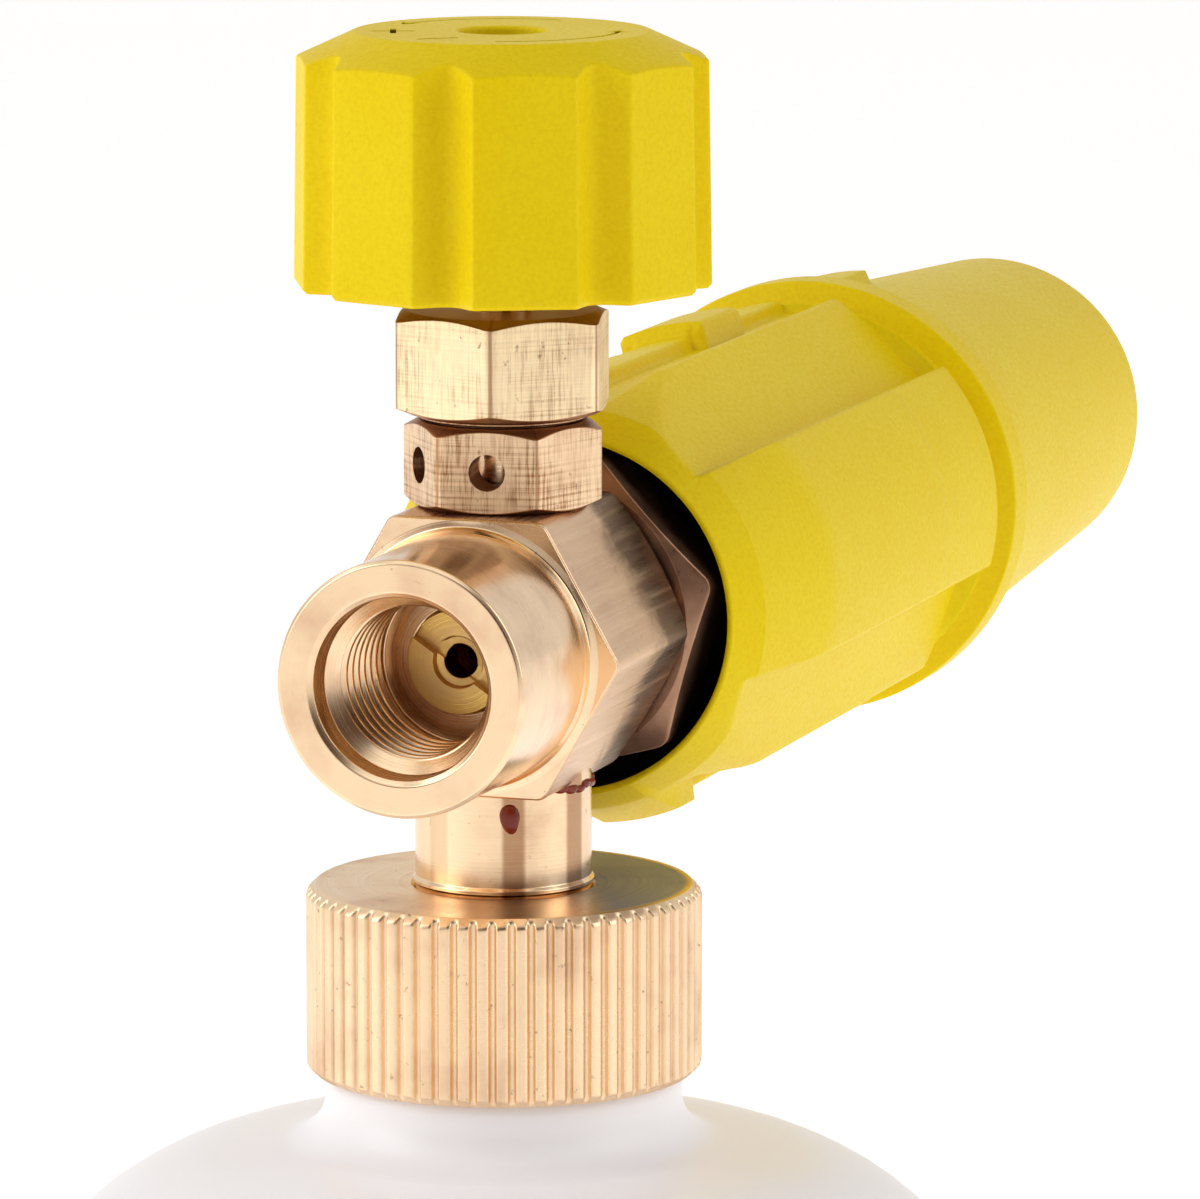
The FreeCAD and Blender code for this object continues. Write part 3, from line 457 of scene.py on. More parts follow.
def body_look():
    """The injector body: turned boss, drawn hexagon with dark brown blotches that grow towards its
    rear.
    """
    look = Look("injector_brass", Metallic=1.0)
    radius, along = look.turned("Y")
    x, y, z = look.split(look.point)
    hexagon = look.range(along, -0.00868, -0.0086)
    rings = look.noise(look.join(radius, along, 0.0), 9000.0, 3.0, 0.6)
    drawn = look.noise(look.join(x, look.math("MULTIPLY", y, 0.03), z), 3600.0, 3.0, 0.65)
    wide_drawn = look.noise(look.join(x, look.math("MULTIPLY", y, 0.05), z), 700.0, 2.0, 0.6)
    lines = look.mix(hexagon, rings, drawn)
    tarnish = look.noise(look.point, 120.0, 4.0, 0.6)
    blotch = look.noise(look.join(x, look.math("MULTIPLY", y, 0.6), z), 260.0, 4.0, 0.65, 0.4)
    rear = look.range(along, -0.004, 0.0095)
    # Dark brown blotches on the hexagon, more of them towards its rear.
    rear_blotches = look.math("MULTIPLY", look.range(look.math("ADD", blotch, rear), 0.72, 1.2), hexagon)
    colour = look.mix(look.range(tarnish, 0.45, 0.75, 0.0, 0.6), BRASS, BRASS_ROSE)
    colour = look.mix(look.math("MULTIPLY", hexagon, 0.55), colour, BRASS_ROSE)
    colour = look.mix(look.math("MULTIPLY", rear_blotches, 0.85), colour, BRASS_DARK_BROWN)
    streaks = look.math("MULTIPLY", look.range(wide_drawn, 0.5, 0.7, 0.0, 0.35), hexagon)
    colour = look.mix(streaks, colour, BRASS)
    specks = look.noise(look.point, 1100.0, 3.0, 0.6)
    colour = look.mix(look.range(specks, 0.66, 0.8, 0.0, 0.6), colour, BRASS_DARK_BROWN)
    rough = look.math("ADD", look.range(lines, 0.3, 0.75, 0.16, 0.3),
                      look.math("MULTIPLY", hexagon, 0.1))
    height = look.math("MULTIPLY", lines, look.range(hexagon, 0.0, 1.0, 1.0, 2.2))
    return look.finish(colour, rough, look.bump(height, 4e-6, 0.9))


def plastic_look(name, grain=1.0, rough=0.42, marks=None):
    """Yellow moulded plastic with spark-eroded grain, paler rubs, a few pale flecks and painted shade
    in hollows.

    marks is the height in mm of a flat top whose sunk marks get painted shade.
    """
    look = Look(name, Subsurface_Weight=0.08, Subsurface_Scale=0.002, Specular_IOR_Level=0.07)
    look.shader.inputs["Subsurface Radius"].default_value = (1.0, 0.7, 0.1)
    fine = look.noise(look.point, 2600.0, 3.0, 0.65)
    coarse = look.noise(look.point, 900.0, 2.0, 0.5)
    broad = look.noise(look.point, 60.0, 3.0, 0.5)
    x, y, z = look.split(look.point)
    scratch = look.noise(look.join(x, y, look.math("MULTIPLY", z, 0.25)), 900.0, 5.0, 0.75, 1.5)
    scuff = look.math("MULTIPLY", look.range(scratch, 0.70, 0.78),
                      look.range(look.noise(look.point, 110.0, 2.0), 0.56, 0.68))
    worn = look.range(look.pointiness(), 0.53, 0.6)
    # Painted shade: hollows, where pointiness is low, are darkened.
    sunk = look.range(look.pointiness(), 0.47, 0.42)
    colour = look.mix(look.range(broad, 0.3, 0.7, 0.0, 0.35), YELLOW, YELLOW_PALE)
    colour = look.mix(look.range(fine, 0.35, 0.7, 0.0, 0.3), colour, YELLOW_DEEP)
    colour = look.mix(look.math("MULTIPLY", worn, 0.35), colour, YELLOW_PALE)
    colour = look.mix(look.math("MULTIPLY", sunk, 0.6), colour, YELLOW_DEEP)
    colour = look.mix(look.math("MULTIPLY", scuff, 0.7), colour, (0.9, 0.88, 0.66, 1))
    if marks:
        # Painted shade in the sunk marks on the knob's top.
        radius, along = look.turned("Z")
        sunk = look.range(along, (marks - 0.06) * MM, (marks - 0.14) * MM)
        sunk = look.math("MULTIPLY", sunk, look.range(along, (marks - 0.5) * MM, (marks - 0.4) * MM))
        ring = look.math("MULTIPLY", look.range(radius, 0.0037, 0.0040),
                         look.range(radius, 0.0113, 0.0111))
        colour = look.mix(look.math("MULTIPLY", sunk, ring), colour, (0.22, 0.16, 0.002, 1))
    height = look.math("ADD", fine, look.math("MULTIPLY", coarse, 1.4))
    rough_map = look.range(fine, 0.3, 0.7, rough - 0.06, rough + 0.1)
    return look.finish(colour, rough_map, look.bump(height, 22e-6 * grain, 0.8))


def bottle_look():
    # The faint emission is painted light: the bottle glows a little, standing in for light through its
    # milky wall.
    look = Look("milky_bottle", Subsurface_Weight=0.6, Subsurface_Scale=0.006,
                Emission_Color=(1, 0.95, 0.97, 1), Emission_Strength=0.1)
    look.shader.inputs["Subsurface Radius"].default_value = (1.0, 0.85, 0.85)
    cloud = look.noise(look.point, 45.0, 3.0, 0.5)
    colour = look.mix(look.range(cloud, 0.3, 0.7), (0.93, 0.885, 0.90, 1), (0.96, 0.92, 0.935, 1))
    specks = look.noise(look.point, 700.0, 2.0, 0.5)
    colour = look.mix(look.range(specks, 0.76, 0.82, 0.0, 0.5), colour, (0.6, 0.5, 0.46, 1))
    drag = look.noise(look.point, 90.0, 2.0, 0.5, 0.6)
    fine = look.noise(look.point, 1600.0, 2.0, 0.5)
    rough = look.range(cloud, 0.3, 0.7, 0.28, 0.4)
    height = look.math("ADD", look.math("MULTIPLY", drag, 6.0), look.math("MULTIPLY", fine, 0.3))
    return look.finish(colour, rough, look.bump(height, 18e-6, 0.6))


def plain_look(name, colour, rough, metallic=0.0, speck=1500.0, bump=4e-6, shade=0.7, **constants):
    """A small part's finish: two-tone colour, uneven gloss and fine relief."""
    look = Look(name, Metallic=metallic, **constants)
    cloud = look.noise(look.point, speck / 6, 3.0, 0.6)
    fine = look.noise(look.point, speck, 3.0, 0.6)
    dark = tuple(c * shade for c in colour[:3]) + (1,)
    shown = look.mix(look.range(cloud, 0.35, 0.7), colour, dark)
    return look.finish(shown, look.range(fine, 0.3, 0.7, rough - 0.05, rough + 0.1),
                       look.bump(fine, bump, 0.8))


def wire_look():
    """Crossing wires packed together."""
    look = Look("wire_mesh", Metallic=1.0)
    x, y, z = look.split(look.point)
    first = look.math("SINE", look.math("MULTIPLY", look.math("ADD", x, y), 9000.0))
    second = look.math("SINE", look.math("MULTIPLY", look.math("SUBTRACT", z, y), 9000.0))
    weave = look.math("MAXIMUM", first, second)
    colour = look.mix(look.range(weave, 0.0, 0.8), (0.05, 0.05, 0.05, 1), (0.62, 0.60, 0.57, 1))
    return look.finish(colour, look.range(weave, 0.0, 1.0, 0.6, 0.28), look.bump(weave, 1e-4, 0.9))


# ---------------------------------------------------------------- bottle, cap and stem

def bottle_piece(look):
    neck_pitch, neck_radius = 4.233, 12.4
    outline = [(0, 4.0), (26.0, 4.0), (31.0, 0), (35.5, 0), (42.0, 6.5, 6.6), (42.0, 164.4),
               (18.3, 189.9, 24.8), (14.2, 193.3, -3.9), (14.2, 195.3), (12.4, 195.7),
               (12.4, 203.8), (10.9, 203.8), (10.9, 193.3), (18.3, 188.7, 7.4),
               (40.8, 164.4, -23.6), (40.8, 6.5), (34.9, 1.2, -5.6), (31.6, 1.2), (26.6, 5.2),
               (0, 5.2)]
    points = [(y, x) for x, y in curved(outline)]
    profile = filled(softened(points, 0.8, False), 0.9, False)
    dense = []
    for start, end in zip(profile, profile[1:]):
        on_neck = start[1] > neck_radius - 0.1 and start[0] > 195.7 and end[0] > 195.7
        dense += filled([start, end], 0.16 if on_neck else 9.0, False)[:-1]
    dense.append(profile[-1])

    def neck_thread(place, radius, angle):
        phase = ((place - 196.6) / neck_pitch - angle / TAU) % 1.0
        ridge = plateau(phase, 0.36, 0.5, 0.14) * plateau(place, 197.6, 202.6, 0.8)
        outside = (radius > neck_radius - 0.1) & (place > 195.8)
        return radius + 0.95 * ridge * outside

    piece = lathe("bottle_shell", dense, "Z", 256, neck_thread, lift=0.0)
    return place_piece(piece, "bottle", "bottle_plastic", look, "bottle")


def cap_piece(look):
    teeth, depth, rim = 64, 0.5, 15.7
    steps = np.array([0, 0.05, 0.1, 0.16, 0.3, 0.5, 0.64, 0.7, 0.76, 0.88])
    columns = (np.arange(teeth)[:, None] + steps[None, :]).ravel() * TAU / teeth
    outline = [(-19.8, 7.05), (CAP_TOP, 7.35), (CAP_TOP, 14.95), (-19.75, 15.35), (-20.5, 16.1),
               (-33.6, 16.1), (-34.15, 15.3), (-34.4, 15.1), (-34.4, 13.7), (-22.4, 13.7),
               (-22.4, 7.05)]
    profile = filled(softened(outline, 0.12), 0.3)

    def knurled(place, radius, angle):
        phase = angle * teeth / TAU % 1.0
        tooth = smooth_step(phase, 0.0, 0.1) - smooth_step(phase, 0.64, 0.76)
        facet = 0.10 * np.clip((phase - 0.3) / 0.4, 0, 1) * tooth
        wobble = 0.03 * np.sin(angle * 7) + 0.02 * np.sin(angle * 23 + 1)
        crest = rim - depth + (depth + wobble) * tooth - facet
        return np.where(radius > 15.0, smooth_min(radius + 0 * crest, crest + 0 * radius, 0.08),
                        radius + 0 * crest)

    piece = lathe("bottle_cap", profile, "Z", columns, knurled)
    return place_piece(piece, "cap", "brass", look, "cap")


def stem_piece(look):
    outline = [(-6.5, 1.9), (-6.5, 5.0), (-9.0, 5.0), (-9.0, 7.0), (-18.6, 7.0), (-18.85, 7.22),
               (-19.1, 7.22), (-19.3, 7.0), (-22.45, 7.0), (-22.45, 12.6), (-24.5, 12.6),
               (-24.5, 3.2), (-27.5, 3.2), (-27.5, 3.5), (-30.5, 3.2), (-33.5, 3.5), (-37.0, 3.2),
               (-38.0, 2.8), (-38.0, 1.9)]
    piece = lathe("suction_stem", profile_of(outline, 0.1), "Z", 128)
    return place_piece(piece, "head", "brass", look, "stem")


# ---------------------------------------------------------------- injector body and jet

def injector_piece(look):
    across, front, rear = 22.0, -8.7, 10.2
    thread_pitch, crest, root = 1.337, 5.9, 6.55
    outline = [(-24.0, 7.55), (-24.0, 9.75), (-23.7, 10.05), (-9.6, 10.05), (-8.85, 10.35),
               (-8.7, 10.9), (-8.7, 13.4), (-8.0, 13.4), (7.7, 13.4), (10.2, 10.9), (10.2, 8.05),
               (5.4, 8.05), (5.4, 3.2), (-4.6, 3.2), (-4.6, 4.15), (-9.6, 4.15), (-9.6, 6.62),
               (-12.2, 6.62), (-12.2, 6.0), (-20.4, 6.0), (-21.4, 7.1), (-23.6, 7.1)]
    coarse = softened(outline, 0.22)
    profile = []
    for start, end in zip(coarse, coarse[1:] + coarse[:1]):
        threaded = start[1] < 6.6 and -21.0 < start[0] < -11.9
        clipped = start[1] > 10.7 and (start[0] > 7.0 or end[0] < front + 0.1)
        step = 0.08 if threaded or clipped else 0.7
        profile += filled([start, end], step, False)[:-1]

    def shaped(place, radius, angle):
        hexed = hex_radius(angle, across, 0.0) + 0 * radius
        lip = 0.16 * (1 - smooth_step(place, front, front + 0.2))
        inside_hex = (place > front - 0.01) & (place < rear + 0.1) & (radius > 10.0)
        body = np.where(inside_hex, smooth_min(radius + 0 * angle, hexed - lip, 0.14),
                        radius + 0 * angle)
        phase = (place / thread_pitch - angle / TAU) % 1.0
        groove = 1 - np.abs(2 * phase - 1)
        depth = (root - crest) * smooth_step(groove, 0.12, 0.9) + 0 * body
        depth = depth * plateau(place, -20.3, -12.4, 0.5)
        on_thread = (radius < 6.05) & (radius > 5.0) & (place < -12.0)
        return np.where(on_thread, crest + depth, body)

    piece = lathe("injector_casting", profile, "Y", hex_angles(0.0, 36), shaped)
    return place_piece(piece, "head", "brass", look, "injector_body")


def jet_piece(look):
    outline = [(-10.7, 2.05), (-10.7, 4.15), (-4.6, 4.15), (-4.6, 0.6), (-6.4, 0.6),
               (-7.0, 1.35), (-9.95, 1.35), (-10.0, 2.0)]
    piece = lathe("jet_disc", profile_of(outline, 0.08, 0.5), "Y", 96)
    slot_half, slot_floor, tilt = 0.62, -9.6, math.radians(34)
    along = Vector((math.cos(tilt), 0, -math.sin(tilt)))
    over = Vector((math.sin(tilt), 0, math.cos(tilt)))
    corners = [(-5.2, -slot_half), (5.2, -slot_half), (5.2, slot_half), (-5.2, slot_half)]
    vertices = []
    for y in (-11.7, slot_floor):
        for a, b in corners:
            point = along * a + over * b
            vertices.append((point.x, y, point.z + SPRAY_HEIGHT))
    faces = [[0, 1, 2, 3], [4, 5, 6, 7]] + [[k, (k + 1) % 4, 4 + (k + 1) % 4, 4 + k] for k in range(4)]
    cut(piece, [mesh_object("slot_tool", vertices, faces)])
    return place_piece(piece, "head", "jet_brass", look, "inlet_jet")


# ---------------------------------------------------------------- dosing valve

def nut_profile(across, low, high, bore, low_edge, high_edge, top):
    """Loop profile of a hexagon nut with turned chamfers; top is its outline from there on."""
    flat, corner = across / 2, across / math.sqrt(3) + 0.1
    outline = [(low, bore), (low, flat * 0.95), (low + low_edge, corner),
               (high - high_edge, corner), (high, flat * 0.95), *top]
    coarse = softened(outline, 0.12)
    profile = []
    for start, end in zip(coarse, coarse[1:] + coarse[:1]):
        sloped = abs(start[1] - end[1]) > 0.02 and start[1] > flat * 0.9
        profile += filled([start, end], 0.07 if sloped else 0.5, False)[:-1]
    return profile


def nut_shape(across, turn, low, high):
    def shaped(place, radius, angle):
        hexed = hex_radius(angle, across, turn)
        outer = (radius > across * 0.45) & (place > low - 0.01) & (place < high + 0.01)
        flat = radius + 0 * hexed
        return np.where(outer, smooth_min(flat, hexed + 0 * radius, 0.1), flat)
    return shaped


def valve_piece(look):
    across, low, high = 14.0, 11.0, 17.8
    collar = [(high, 5.6), (high + 0.12, 6.5), (high + 0.3, 6.75), (high + 0.5, 6.5),
              (high + 0.56, 4.95), (24.35, 4.95), (24.35, 3.0)]
    profile = nut_profile(across, low, high, 3.0, 0.72, 0.85, collar)
    piece = lathe("valve_hex", profile, "Z", hex_angles(VALVE_TURN),
                  nut_shape(across, VALVE_TURN, low, high))
    tools = []
    for azimuth in (9.0, -51.0):
        drill = lathe("drill", [(-9.0, 0), (-9.0, 1.45), (9.0, 1.45), (9.0, 0)], "Y", 48,
                      lift=0.0)
        drill.data.transform(Matrix.Rotation(math.radians(azimuth), 4, "Z"))
        drill.data.transform(Matrix.Translation((0, 0, (SPRAY_HEIGHT + 14.4) * MM)))
        tools.append(drill)
    cut(piece, tools, sharp=38)
    return place_piece(piece, "head", "brass", look, "valve_body")


def gland_piece(look):
    across, low, high = 16.0, 18.4, 26.5
    top_bore = [(high, 2.6), (24.4, 2.6), (24.4, 5.05)]
    profile = nut_profile(across, low, high, 5.05, 0.75, 0.75, top_bore)
    piece = lathe("gland_hex", profile, "Z", hex_angles(GLAND_TURN),
                  nut_shape(across, GLAND_TURN, low, high))
    return place_piece(piece, "head", "brass", look, "gland_nut")


def sealant_piece(look):
    """Red-brown thread sealant squeezed out on the stem and along its joint."""
    vertices, faces = [], []

    def blob(azimuth, height, wide, tall, proud, lean=0.0):
        rows, cols, sunk = 10, 20, 0.15
        base = len(vertices)
        for i in range(rows + 1):
            for j in range(cols):
                t, a = i / rows, TAU * j / cols
                bulge = math.sin(math.pi * t / 2)
                edge = 1 + 0.12 * math.sin(2 * a + height) + 0.06 * math.sin(3 * a)
                u = bulge * math.cos(a) * wide * edge
                v = bulge * math.sin(a) * tall * edge
                rise = (proud + sunk) * math.cos(math.pi * t / 2) ** 0.7
                r = STEM_RADIUS - sunk + rise if t < 1 else STEM_RADIUS - 0.2
                turn = azimuth + (u + lean * v) / STEM_RADIUS
                vertices.append((r * math.cos(turn), r * math.sin(turn), height + v + SPRAY_HEIGHT))
        for i in range(rows):
            for j in range(cols):
                k = (j + 1) % cols
                faces.append([base + i * cols + j, base + i * cols + k,
                              base + (i + 1) * cols + k, base + (i + 1) * cols + j])
        faces.append([base + rows * cols + j for j in range(cols)])

    blob(math.radians(-66.5), -13.0, 0.85, 1.15, 0.34, -0.2)
    for number in range(9):
        turn = math.radians(-30 + 9.5 * number)
        blob(turn, -11.0 - 0.12 * (number % 3), 0.75, 0.35 + 0.06 * (number % 2), 0.3)
    piece = mesh_object("thread_sealant", vertices, faces)
    return place_piece(piece, "head", "seal_rubber", look)


# ---------------------------------------------------------------- knob

KNOB_LOBES = 8
LOBE_CENTRE = math.radians(-64.3)
LOBE_HALF = math.radians(14.1)
KNOB_EDGE = 16.5


def knob_section(angle):
    """Radius round the knob: flat-faced lobes with concave flutes between them."""
    pitch = TAU / KNOB_LOBES
    off_lobe = (angle - LOBE_CENTRE + pitch / 2) % pitch - pitch / 2
    lobe = KNOB_EDGE * math.cos(LOBE_HALF) / np.cos(off_lobe)
    flute_share = (pitch / 2 - np.abs(off_lobe)) / (pitch / 2 - LOBE_HALF)
    flute = KNOB_EDGE + 0.05 - 1.85 * np.cos(np.clip(flute_share, 0, 1.9) * math.pi / 2)
    return smooth_min(lobe, flute, 0.28)


def knob_piece(look):
    base, top, shoulder = 28.35, KNOB_TOP, 46.3
    slope = (top - shoulder) / (16.2 - 11.6)
    side_top = shoulder - slope * (17.4 - 16.2)
    outline = [(base + 6, 0), (base + 6, 5.2), (44.5, 5.2), (43.9, 13.1), (base, 13.1),
               (base, 14.1), (base, 17.4), (side_top, 17.4), (top, 11.6), (top, 3.45),
               (44.6, 3.45), (44.6, 0)]
    coarse = softened(outline, 0.3, False)
    profile = []
    for start, end in zip(coarse, coarse[1:]):
        sloped = start[0] > side_top - 0.5 and start[1] > 11.0
        profile += filled([start, end], 0.12 if sloped else 0.6, False)[:-1]
    profile.append(coarse[-1])
    lobe_steps = (1 - np.cos(np.pi * np.arange(22) / 22)) / 2 * 2 * LOBE_HALF - LOBE_HALF
    flute_wide = TAU / KNOB_LOBES - 2 * LOBE_HALF
    flute_steps = LOBE_HALF + (1 - np.cos(np.pi * np.arange(22) / 22)) / 2 * flute_wide
    steps = np.concatenate([lobe_steps, flute_steps])
    lobes = LOBE_CENTRE + np.arange(KNOB_LOBES)[:, None] * TAU / KNOB_LOBES
    columns = (lobes + steps[None, :]).ravel()

    def shaped(place, radius, angle):
        draft = 1.006 - 0.018 * (place - base) / (top - base)
        lip = 0.3 * (1 - smooth_step(place, base, base + 0.35))
        section = knob_section(angle) * draft - lip
        outer = radius > 13.6
        flat = radius + 0 * section
        return np.where(outer, smooth_min(flat, section, 0.3), flat)

    piece = lathe("dosing_knob", profile, "Z", columns, shaped)
    cut(piece, knob_marks(top), sharp=50)
    return place_piece(piece, "knob", "yellow_plastic", look, "knob")


def knob_marks(top):
    """Cutting tools for two curved arrows and a plus and a minus on the knob's top."""
    low, high = top - 0.35, top + 1.0

    def polar(radius, degrees):
        return radius * math.cos(math.radians(degrees)), radius * math.sin(math.radians(degrees))

    def arc_arrow(name, radius, start, end):
        half, head, ahead = 0.2, 0.85, math.copysign(8.0, end - start)
        turns = [start + (end - start) * k / 24 for k in range(25)]
        outer = [polar(radius + half, a) for a in turns]
        inner = [polar(radius - half, a) for a in reversed(turns)]
        tip = [polar(radius + head, end), polar(radius, end + ahead), polar(radius - head, end)]
        return extruded(name, outer + tip + inner, low, high)

    def bar(name, centre, degrees, half_length, half_width=0.24):
        along = Vector(polar(1.0, degrees))
        over = Vector((-along.y, along.x))
        middle = Vector(centre)
        corners = [(-1, -1), (1, -1), (1, 1), (-1, 1)]
        return extruded(name, [tuple(middle + along * a * half_length + over * b * half_width)
                               for a, b in corners], low, high)

    return [arc_arrow("rear_arrow", 9.3, 79.0, 160.0), arc_arrow("front_arrow", 9.2, -74.0, 8.0),
            bar("plus_along", (-7.8, -3.45), 20.0, 1.75),
            bar("plus_over", (-7.8, -3.45), 110.0, 1.75),
            bar("minus", (-2.5, -7.9), 40.0, 1.7)]


# ---------------------------------------------------------------- outlet, grip and shroud

def outlet_piece(look):
    across, turn = 24.0, math.radians(14.0)
    outline = [(5.4, 4.5), (5.4, 8.0), (10.6, 8.0), (10.6, 9.4), (11.0, 9.4), (11.0, 11.6),
               (12.3, 14.2), (17.4, 14.2), (17.4, 9.4), (51.3, 9.4), (51.3, 8.6), (52.7, 8.6),
               (52.7, 9.4), (64.0, 9.4), (64.0, 8.2), (66.2, 8.2), (66.2, 9.4), (70.0, 9.4),
               (70.0, 7.6), (24.0, 7.6), (24.0, 4.5)]
    coarse = softened(outline, 0.15)
    profile = []
    for start, end in zip(coarse, coarse[1:] + coarse[:1]):
        step = 0.1 if start[1] > 11.5 and start[0] < 12.5 else 1.5
        profile += filled([start, end], step, False)[:-1]

    def shaped(place, radius, angle):
        hexed = hex_radius(angle, across, turn, 0.25)
        flat = radius + 0 * hexed
        return np.where(radius > 10.5, smooth_min(flat, hexed + 0 * radius, 0.12), flat)

    piece = lathe("outlet_pipe", profile, "Y", hex_angles(turn, 28), shaped)
    return place_piece(piece, "head", "brass", look, "outlet_tube")


def grip_section():
    """Angles and radii round the grip: wide ribs, slanted faces, crests and latch strips."""
    rim, floor, crest, trough, strip = 18.4, 15.8, 18.6, 16.5, 17.6
    quarter = [(rim, 29.3), (floor, 32.2), (floor, 34.5), (crest, 65.5), (trough, 69.5),
               (trough, 81.0), (strip, 82.0)]
    half = quarter + [(radius, 180 - angle) for radius, angle in reversed(quarter)]
    corners = half + [(radius, angle + 180) for radius, angle in half]
    points = []
    for index, (radius, angle) in enumerate(corners):
        last_radius, last_angle = corners[index - 1]
        span = (angle - last_angle) % 360
        if radius == last_radius and span > 3:
            count = math.ceil(span / 3)
            turns = [last_angle + span * k / count for k in range(1, count)]
            points += [(radius, math.radians(a)) for a in turns]
        points.append((radius, math.radians(angle)))
    flat = [(radius * math.cos(a), radius * math.sin(a)) for radius, a in points]
    outline = filled(softened(flat, 0.5), 0.7)
    xs = np.array([p[0] for p in outline])
    ys = np.array([p[1] for p in outline])
    angle = np.unwrap(np.arctan2(ys, xs)) + GRIP_TURN
    order = np.argsort(angle)
    return angle[order], np.hypot(xs, ys)[order]


def grip_piece(looks):
    columns, section = grip_section()
    mouth, rib_end = 13.2, 77.7
    thumb_radius, strip_radius, catch_radius = 17.0, 17.8, 18.85
    outline = [(mouth, 14.3), (mouth, 14.75), (16.9, 16.4), (29.5, 18.4), (31.0, 18.6),
               (61.3, 18.6), (62.0, 18.32), (rib_end - 0.5, 18.3), (78.2, 17.1), (79.2, 17.1),
               (80.3, 19.0), (84.0, 19.0), (85.2, 18.1), (85.2, 15.0), (79.0, 15.0),
               (78.0, 13.0), (51.0, 13.0), (51.0, 9.46), (24.0, 9.46), (21.0, 14.3)]
    coarse = softened(outline, 0.3)
    profile = []
    for start, end in zip(coarse, coarse[1:] + coarse[:1]):
        busy = start[1] > 14.2 and (start[0] < 33 or 50 < start[0] < 65)
        profile += filled([start, end], 0.3 if busy else 1.2, False)[:-1]

    def shaped(place, radius, angle):
        ribs = section[None, :] + 6.0 * smooth_step(place, rib_end, rib_end + 0.7)
        outer = (radius > 14.6) & (place < 79.5)
        flat = radius + 0 * ribs
        spread = np.where(outer, smooth_min(flat, ribs, 0.25), flat)
        off_low = np.abs((angle - GRIP_TURN + math.pi * 1.5) % TAU - math.pi)
        off_high = np.abs((angle - GRIP_TURN + math.pi * 0.5) % TAU - math.pi)
        thumb = plateau(off_low * thumb_radius, -1.0, 3.3, 0.3)
        catch = plateau(off_high * strip_radius, -1.0, 3.6, 0.35)
        on_thumb = thumb * plateau(place, 0.0, 25.6, 0.4) * (radius > 14.6)
        on_catch = catch * plateau(place, 52.8, 62.8, 0.5) * (radius > 14.6)
        ramp = np.interp(place, [mouth, 15.5, 21.4], [14.8, 16.35, 18.45])
        spread = np.maximum(spread, spread + (ramp - spread) * on_thumb)
        return spread + (catch_radius - spread) * on_catch

    piece = lathe("grip_shell", profile, "Y", columns, shaped)
    place_piece(piece, "grip", "yellow_plastic", looks, "grip_sleeve")
    # Painted shade: faces inside the grip's mouth take the black second material.
    for face in piece.data.polygons:
        centre = face.center / MM
        face.material_index = int(math.hypot(centre.x, centre.z - SPRAY_HEIGHT) < 14.5
                                  and centre.y > 13.5)
    return piece


def shroud_piece(look):
    outline = [(79.4, 13.08), (79.4, 14.4), (86.2, 14.4), (86.2, 17.0), (86.5, 17.2),
               (137.6, 14.3), (139.1, 13.9), (139.4, 13.3), (139.4, 12.3), (92.0, 14.9),
               (90.0, 13.08)]
    coarse = softened(outline, 0.35)
    profile = []
    for start, end in zip(coarse, coarse[1:] + coarse[:1]):
        busy = start[1] > 14.3 and start[0] < 102
        profile += filled([start, end], 0.35 if busy else 1.5, False)[:-1]

    marker_radius, marker_end = 17.75, 99.0

    def shaped(place, radius, angle):
        off_top = np.abs((angle - GRIP_TURN + math.pi * 0.5) % TAU - math.pi)
        marker = plateau(off_top * 17.0, -1.0, 3.7, 0.35)
        marker = marker * (1 - smooth_step(place, marker_end, marker_end + 1.0))
        outer = (radius > 15.5) & (place > 86.0)
        return radius + marker * outer * np.maximum(marker_radius - radius, 0)

    piece = lathe("nozzle_shroud", profile, "Y", 224, shaped)
    return place_piece(piece, "shroud", "yellow_plastic", look, "front_shroud")


# ---------------------------------------------------------------- make the pieces

brass_cap = cap_look()
# The stem's bands are painted dark reflections.
brass_stem = brass_look("stem_brass", "Z", BRASS, 0.14,
                        painted_reflection_bands=[(-64, 5, 0.75), (-17, 6, 0.7), (-118, 6, 0.25)])
brass_gland = brass_look("gland_brass", "Z", BRASS_CREAM, 0.24, 1.2, 0.45,
                         corner=GLAND_TURN)
brass_valve = brass_look("valve_brass", "Z", BRASS, 0.24, 1.2, 0.7,
                         corner=VALVE_TURN)
# Painted shade: a dark brown copy of brass for the outlet pipe, whose hexagon sits in the shade of the
# grip's mouth.
brass_in_painted_shade = brass_look("rear_brass_painted_shade", "Y", (0.30, 0.16, 0.10, 1), 0.3, 1.0)
brass_jet = jet_look()
knob_yellow = plastic_look("knob_yellow", 1.0, marks=KNOB_TOP)
grip_yellow = plastic_look("grip_yellow", 0.8, 0.38)
shroud_yellow = plastic_look("shroud_yellow", 0.5, 0.36)
# Black standing in for the shade inside the grip's mouth: painted shade.
painted_mouth_shade = plain_look("painted_mouth_shade", (0.012, 0.012, 0.014, 1), 0.5)
black_rubber = plain_look("black_rubber", (0.02, 0.02, 0.022, 1), 0.55, bump=2e-5)
black_plastic = plain_look("black_plastic", (0.03, 0.03, 0.032, 1), 0.42, bump=1e-5)
steel = plain_look("bright_steel", (0.62, 0.61, 0.59, 1), 0.28, 1.0)
clear_tube = plain_look("clear_hose", (0.85, 0.87, 0.86, 1), 0.2, Transmission_Weight=0.8)
sealant = plain_look("cured_sealant", (0.24, 0.028, 0.006, 1), 0.14,
                     Specular_IOR_Level=0.35)

bottle_piece(bottle_look())
cap_piece(brass_cap)
stem_piece(brass_stem)
injector_piece(body_look())
jet_piece(brass_jet)
valve_piece(brass_valve)
gland_piece(brass_gland)
sealant_piece(sealant)
knob_piece(knob_yellow)
outlet_piece(brass_in_painted_shade)
grip_piece([grip_yellow, painted_mouth_shade])
shroud_piece(shroud_yellow)

